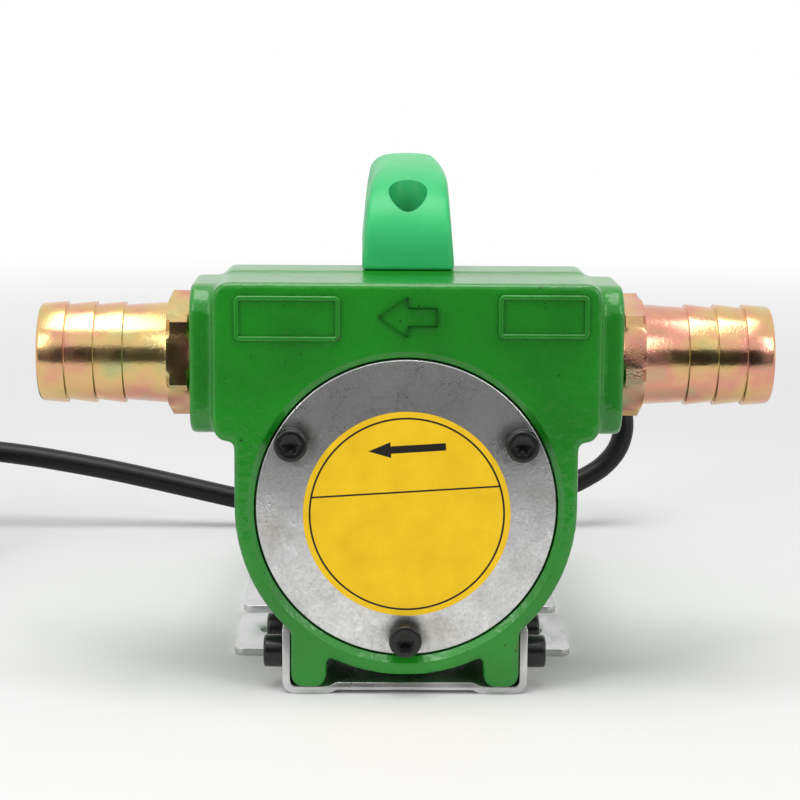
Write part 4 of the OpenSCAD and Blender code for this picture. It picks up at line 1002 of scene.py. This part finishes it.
handle = merged("handle")
for depth, seat in HOLES:
    bar = cylinder(HOLE_R + 0.02, HOLE_L, spot(0, depth, seat - 0.02), (0, 0, 1))
    handle.from_mesh(carved(as_mesh("filler", bar), hull_of(merged("handle")), "INTERSECT"))
handle = waxed(handle, 0.62, 7)
CROWN_Z, CROWN_H, CROWN_DROP, HALF_W = 118, 16, 1.1, 10.4
FOOT_LEAN, CREST_LEAN = 0.5, 1.2
FRONT_U, REAR_U = 27, 141
for v in handle.vertices:
    height = (v.co.z / MM - CROWN_Z) / CROWN_H
    if height > 0:
        v.co.z -= CROWN_DROP * MM * height * (v.co.x / (HALF_W * MM)) ** 2
    along = min(max((v.co.y / MM - FRONT - FRONT_U) / (REAR_U - FRONT_U), 0), 1)
    v.co.x += (FOOT_LEAN + CREST_LEAN * math.sin(math.pi * along)) * MM
for depth, seat in HOLES:
    handle = carved(handle, cylinder(HOLE_R, HOLE_L, spot(FOOT_LEAN, depth, seat), (0, 0, 1)))
piece("carry_handle", handle, "handle_green", "pump", "handle", sharp=40)

# %% [markdown]
# ## The motor's barrel
#
# The barrel is drawn steel tube, painted with the casing. Two shallow swages near its
# ends stiffen it, and they are just dips in the profile that is spun.

# %% Motor barrel and flange
AXIS_Z = 51.8
BARREL_R, BORE_R, BARREL_U, BARREL_END = 42, 39, 52, 114
SWAGE = ((0, 0), (0.2, 0.25), (0.55, 0.8), (0.6, 1.2), (0.55, 1.6), (0.2, 2.15), (0, 2.4))
barrel_profile = [(BORE_R, BARREL_U), (BARREL_R - 0.4, BARREL_U), (BARREL_R, BARREL_U + 0.4)]
for groove in (58, 106.5):
    barrel_profile += [(BARREL_R - depth, groove + along) for depth, along in SWAGE]
barrel_profile += [(BARREL_R, BARREL_END - 0.4), (BARREL_R - 0.4, BARREL_END), (BORE_R, BARREL_END)]
barrel = turned(barrel_profile, 160, closed=True)
piece("motor_tube", aim(barrel, spot(0, 0, AXIS_Z), BACK), "enamel_green", "pump", "motor_barrel")
piece("motor_adapter", sheared("motor_flange", 0.5, 3), "enamel_green", "pump", "motor_flange")

# %% [markdown]
# ## The rear cover
#
# The rear cover is a casting again: a cup with a pad for the handle's rear foot. It gets
# the same wax treatment as the casing.

# %% Rear cover
cup = waxed(merged("rear_cover"), 0.85, 4)
piece("rear_casting", cup, "enamel_green", "pump", "rear_cover", sharp=50)
BOLT_X, BOLT_U, BOLT_L = 33, 146, 101.9
bolts = [screw(spot(side * BOLT_X, BOLT_U, AXIS_Z), BACK, BOLT_L) for side in (-1, 1)]
piece("long_bolts", joined(*bolts), "black_steel", "pump", "tie_bolts")

# %% [markdown]
# ## The switch
#
# A rocker switch snaps into the rear cover. Its bezel and its rocker keep the CAD
# shapes, softened. The marks are a bar for on and a ring for off, as on any such switch;
# they are thin white inlays that ride on the rocker and tilt with it.

# %% Switch
piece("switch_bezel", sheared("switch_body", 0.25), "plastic_black", "pump", "switch_body")
piece("rocker_key", sheared("switch_rocker", 0.3), "rocker_red", "rocker", "switch_rocker")
plain("mark_white", grey(0.75), 0.4, depth=0.004, spread=0.05)
FACE_U, FACE_Z, REST_TURN = 152.6, 26.8, math.radians(-8)  # the rocker's face at rest
MARK_X, MARK_UP, MARK_LEAN = 4.9, 2.11, math.radians(7.6)
RING_IN, RING_OUT, MARK_T = 1.25, 1.85, 0.12
bar_mark = box((0.8, MARK_T, 3.6), Vector((0, 0, 0)))
ring_mark = turned([(RING_IN, -MARK_T / 2), (RING_OUT, -MARK_T / 2),
                    (RING_OUT, MARK_T / 2), (RING_IN, MARK_T / 2)], 32, closed=True)
aim(ring_mark, Vector((0, 0, 0)), BACK)
marks = []
for side, mark in ((-1, ring_mark), (1, bar_mark)):
    bmesh.ops.rotate(mark, cent=(0, 0, 0), matrix=Matrix.Rotation(side * MARK_LEAN, 3, "Z"),
                     verts=mark.verts)
    bmesh.ops.translate(mark, vec=Vector((side * MARK_X, MARK_UP, 0)) * MM, verts=mark.verts)
    marks.append(mark)
inlay = joined(*marks)
bmesh.ops.transform(inlay, matrix=Matrix.Translation(spot(0, FACE_U, FACE_Z))
                    @ Matrix.Rotation(REST_TURN, 4, "Z"), verts=inlay.verts)
marks_obj = placed("rocker_marks", as_mesh("rocker_marks", inlay))
marks_obj.data.materials.append(FINISH["mark_white"])
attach(marks_obj, "rocker")
print("switch ready")

# %% [markdown]
# ## Floor
#
# The floor is plain pale paper that fades to pure white away from the pump, so no
# horizon shows, while the shadow near the pump stays.

# %% Floor
PAPER = 0.74
FADE_FROM, FADE_TO = 0.35, 1.1  # metres from the pump's middle


def paper():
    mat = material("white_paper", Roughness=0.7, Base_Color=(*grey(PAPER), 1))
    tree = mat.node_tree
    glow = node(mat, "Emission", {"Strength": 1.0})
    away = node(mat, "VectorMath", {0: coords(mat)}, operation="LENGTH").outputs["Value"]
    path = node(mat, "LightPath", {})
    seen = maths(mat, "MAXIMUM", path.outputs["Is Camera Ray"], path.outputs["Is Glossy Ray"])
    share = maths(mat, "MULTIPLY", seen, band(mat, away, FADE_FROM, FADE_TO))
    both = node(mat, "MixShader", {0: share, 1: tree.nodes["Principled BSDF"].outputs[0],
                                   2: glow.outputs[0]})
    tree.links.new(both.outputs[0], tree.nodes["Material Output"].inputs[0])
    return mat


def sheet(name, width, depth, mat):
    """A flat sheet round the origin, in metres, for the studio and not for the pump."""
    bm = bmesh.new()
    bmesh.ops.create_grid(bm, x_segments=1, y_segments=1, size=0.5)
    bmesh.ops.scale(bm, vec=(width, depth, 1), verts=bm.verts)
    obj = placed(name, as_mesh(name, bm))
    obj.data.materials.append(mat)
    return obj


floor = sheet("floor", 12, 12, paper())
print("floor ready")

# %% [markdown]
# ## Light
#
# A soft box overhead gives the soft shadow, two tall strips in front put bright lines on
# the bosses' rounded edges, and a low dark card in front, which only reflections see,
# keeps the front of the enamel deep and the cover's upper half dark. It stands for the
# unlit room beyond the paper's front edge, and it draws the dark band on the barbs.

# %% Lights and world
def soft_box(name, place, target, width, height, watts):
    lamp = bpy.data.lights.new(name, "AREA")
    lamp.shape = "RECTANGLE"
    lamp.size, lamp.size_y = width, height
    lamp.energy = watts
    way = Vector(target) - Vector(place)
    turn = way.to_track_quat("-Z", "Y").to_matrix().to_4x4()
    placed(name, lamp).matrix_world = Matrix.Translation(place) @ turn


soft_box("overhead", (-0.1, -0.25, 1.3), (0, 0, 0.05), 1.0, 1.0, 14)
soft_box("left_strip", (-0.95, -0.9, 0.5), (0, 0, 0.06), 0.2, 1.0, 4)
soft_box("right_strip", (0.95, -0.9, 0.5), (0, 0, 0.06), 0.2, 1.0, 4)

CARD_W, CARD_H, CARD_Y, CARD_Z = 1.2, 0.17, -0.3, 0.088  # metres
card = sheet("dark_card", CARD_W, CARD_H,
             material("black_card", Base_Color=(0.01, 0.01, 0.01, 1), Roughness=0.9))
card.data.transform(Matrix.Translation((0, CARD_Y, CARD_Z)) @ Matrix.Rotation(-math.pi / 2, 4, "X"))
card.visible_camera = card.visible_diffuse = card.visible_shadow = False

SHINES, SHOWS = 0.45, 1.0  # the room looks brighter than the light that it gives
world = bpy.data.worlds.new("white_room")
bpy.context.scene.world = world
world.use_nodes = True
path = node(world, "LightPath", {})
seen = path.outputs["Is Camera Ray"]
for kind in ("Is Glossy Ray", "Is Transmission Ray"):
    seen = maths(world, "MAXIMUM", seen, path.outputs[kind])
background = world.node_tree.nodes["Background"]
background.inputs["Color"].default_value = (*grey(1), 1)
world.node_tree.links.new(band(world, seen, 0, 1, SHINES, SHOWS), background.inputs["Strength"])
bpy.context.scene.view_settings.view_transform = "Standard"

# %% [markdown]
# ## Finish
#
# The dressed pump is built as large as the CAD model.

# %% Finish
import json
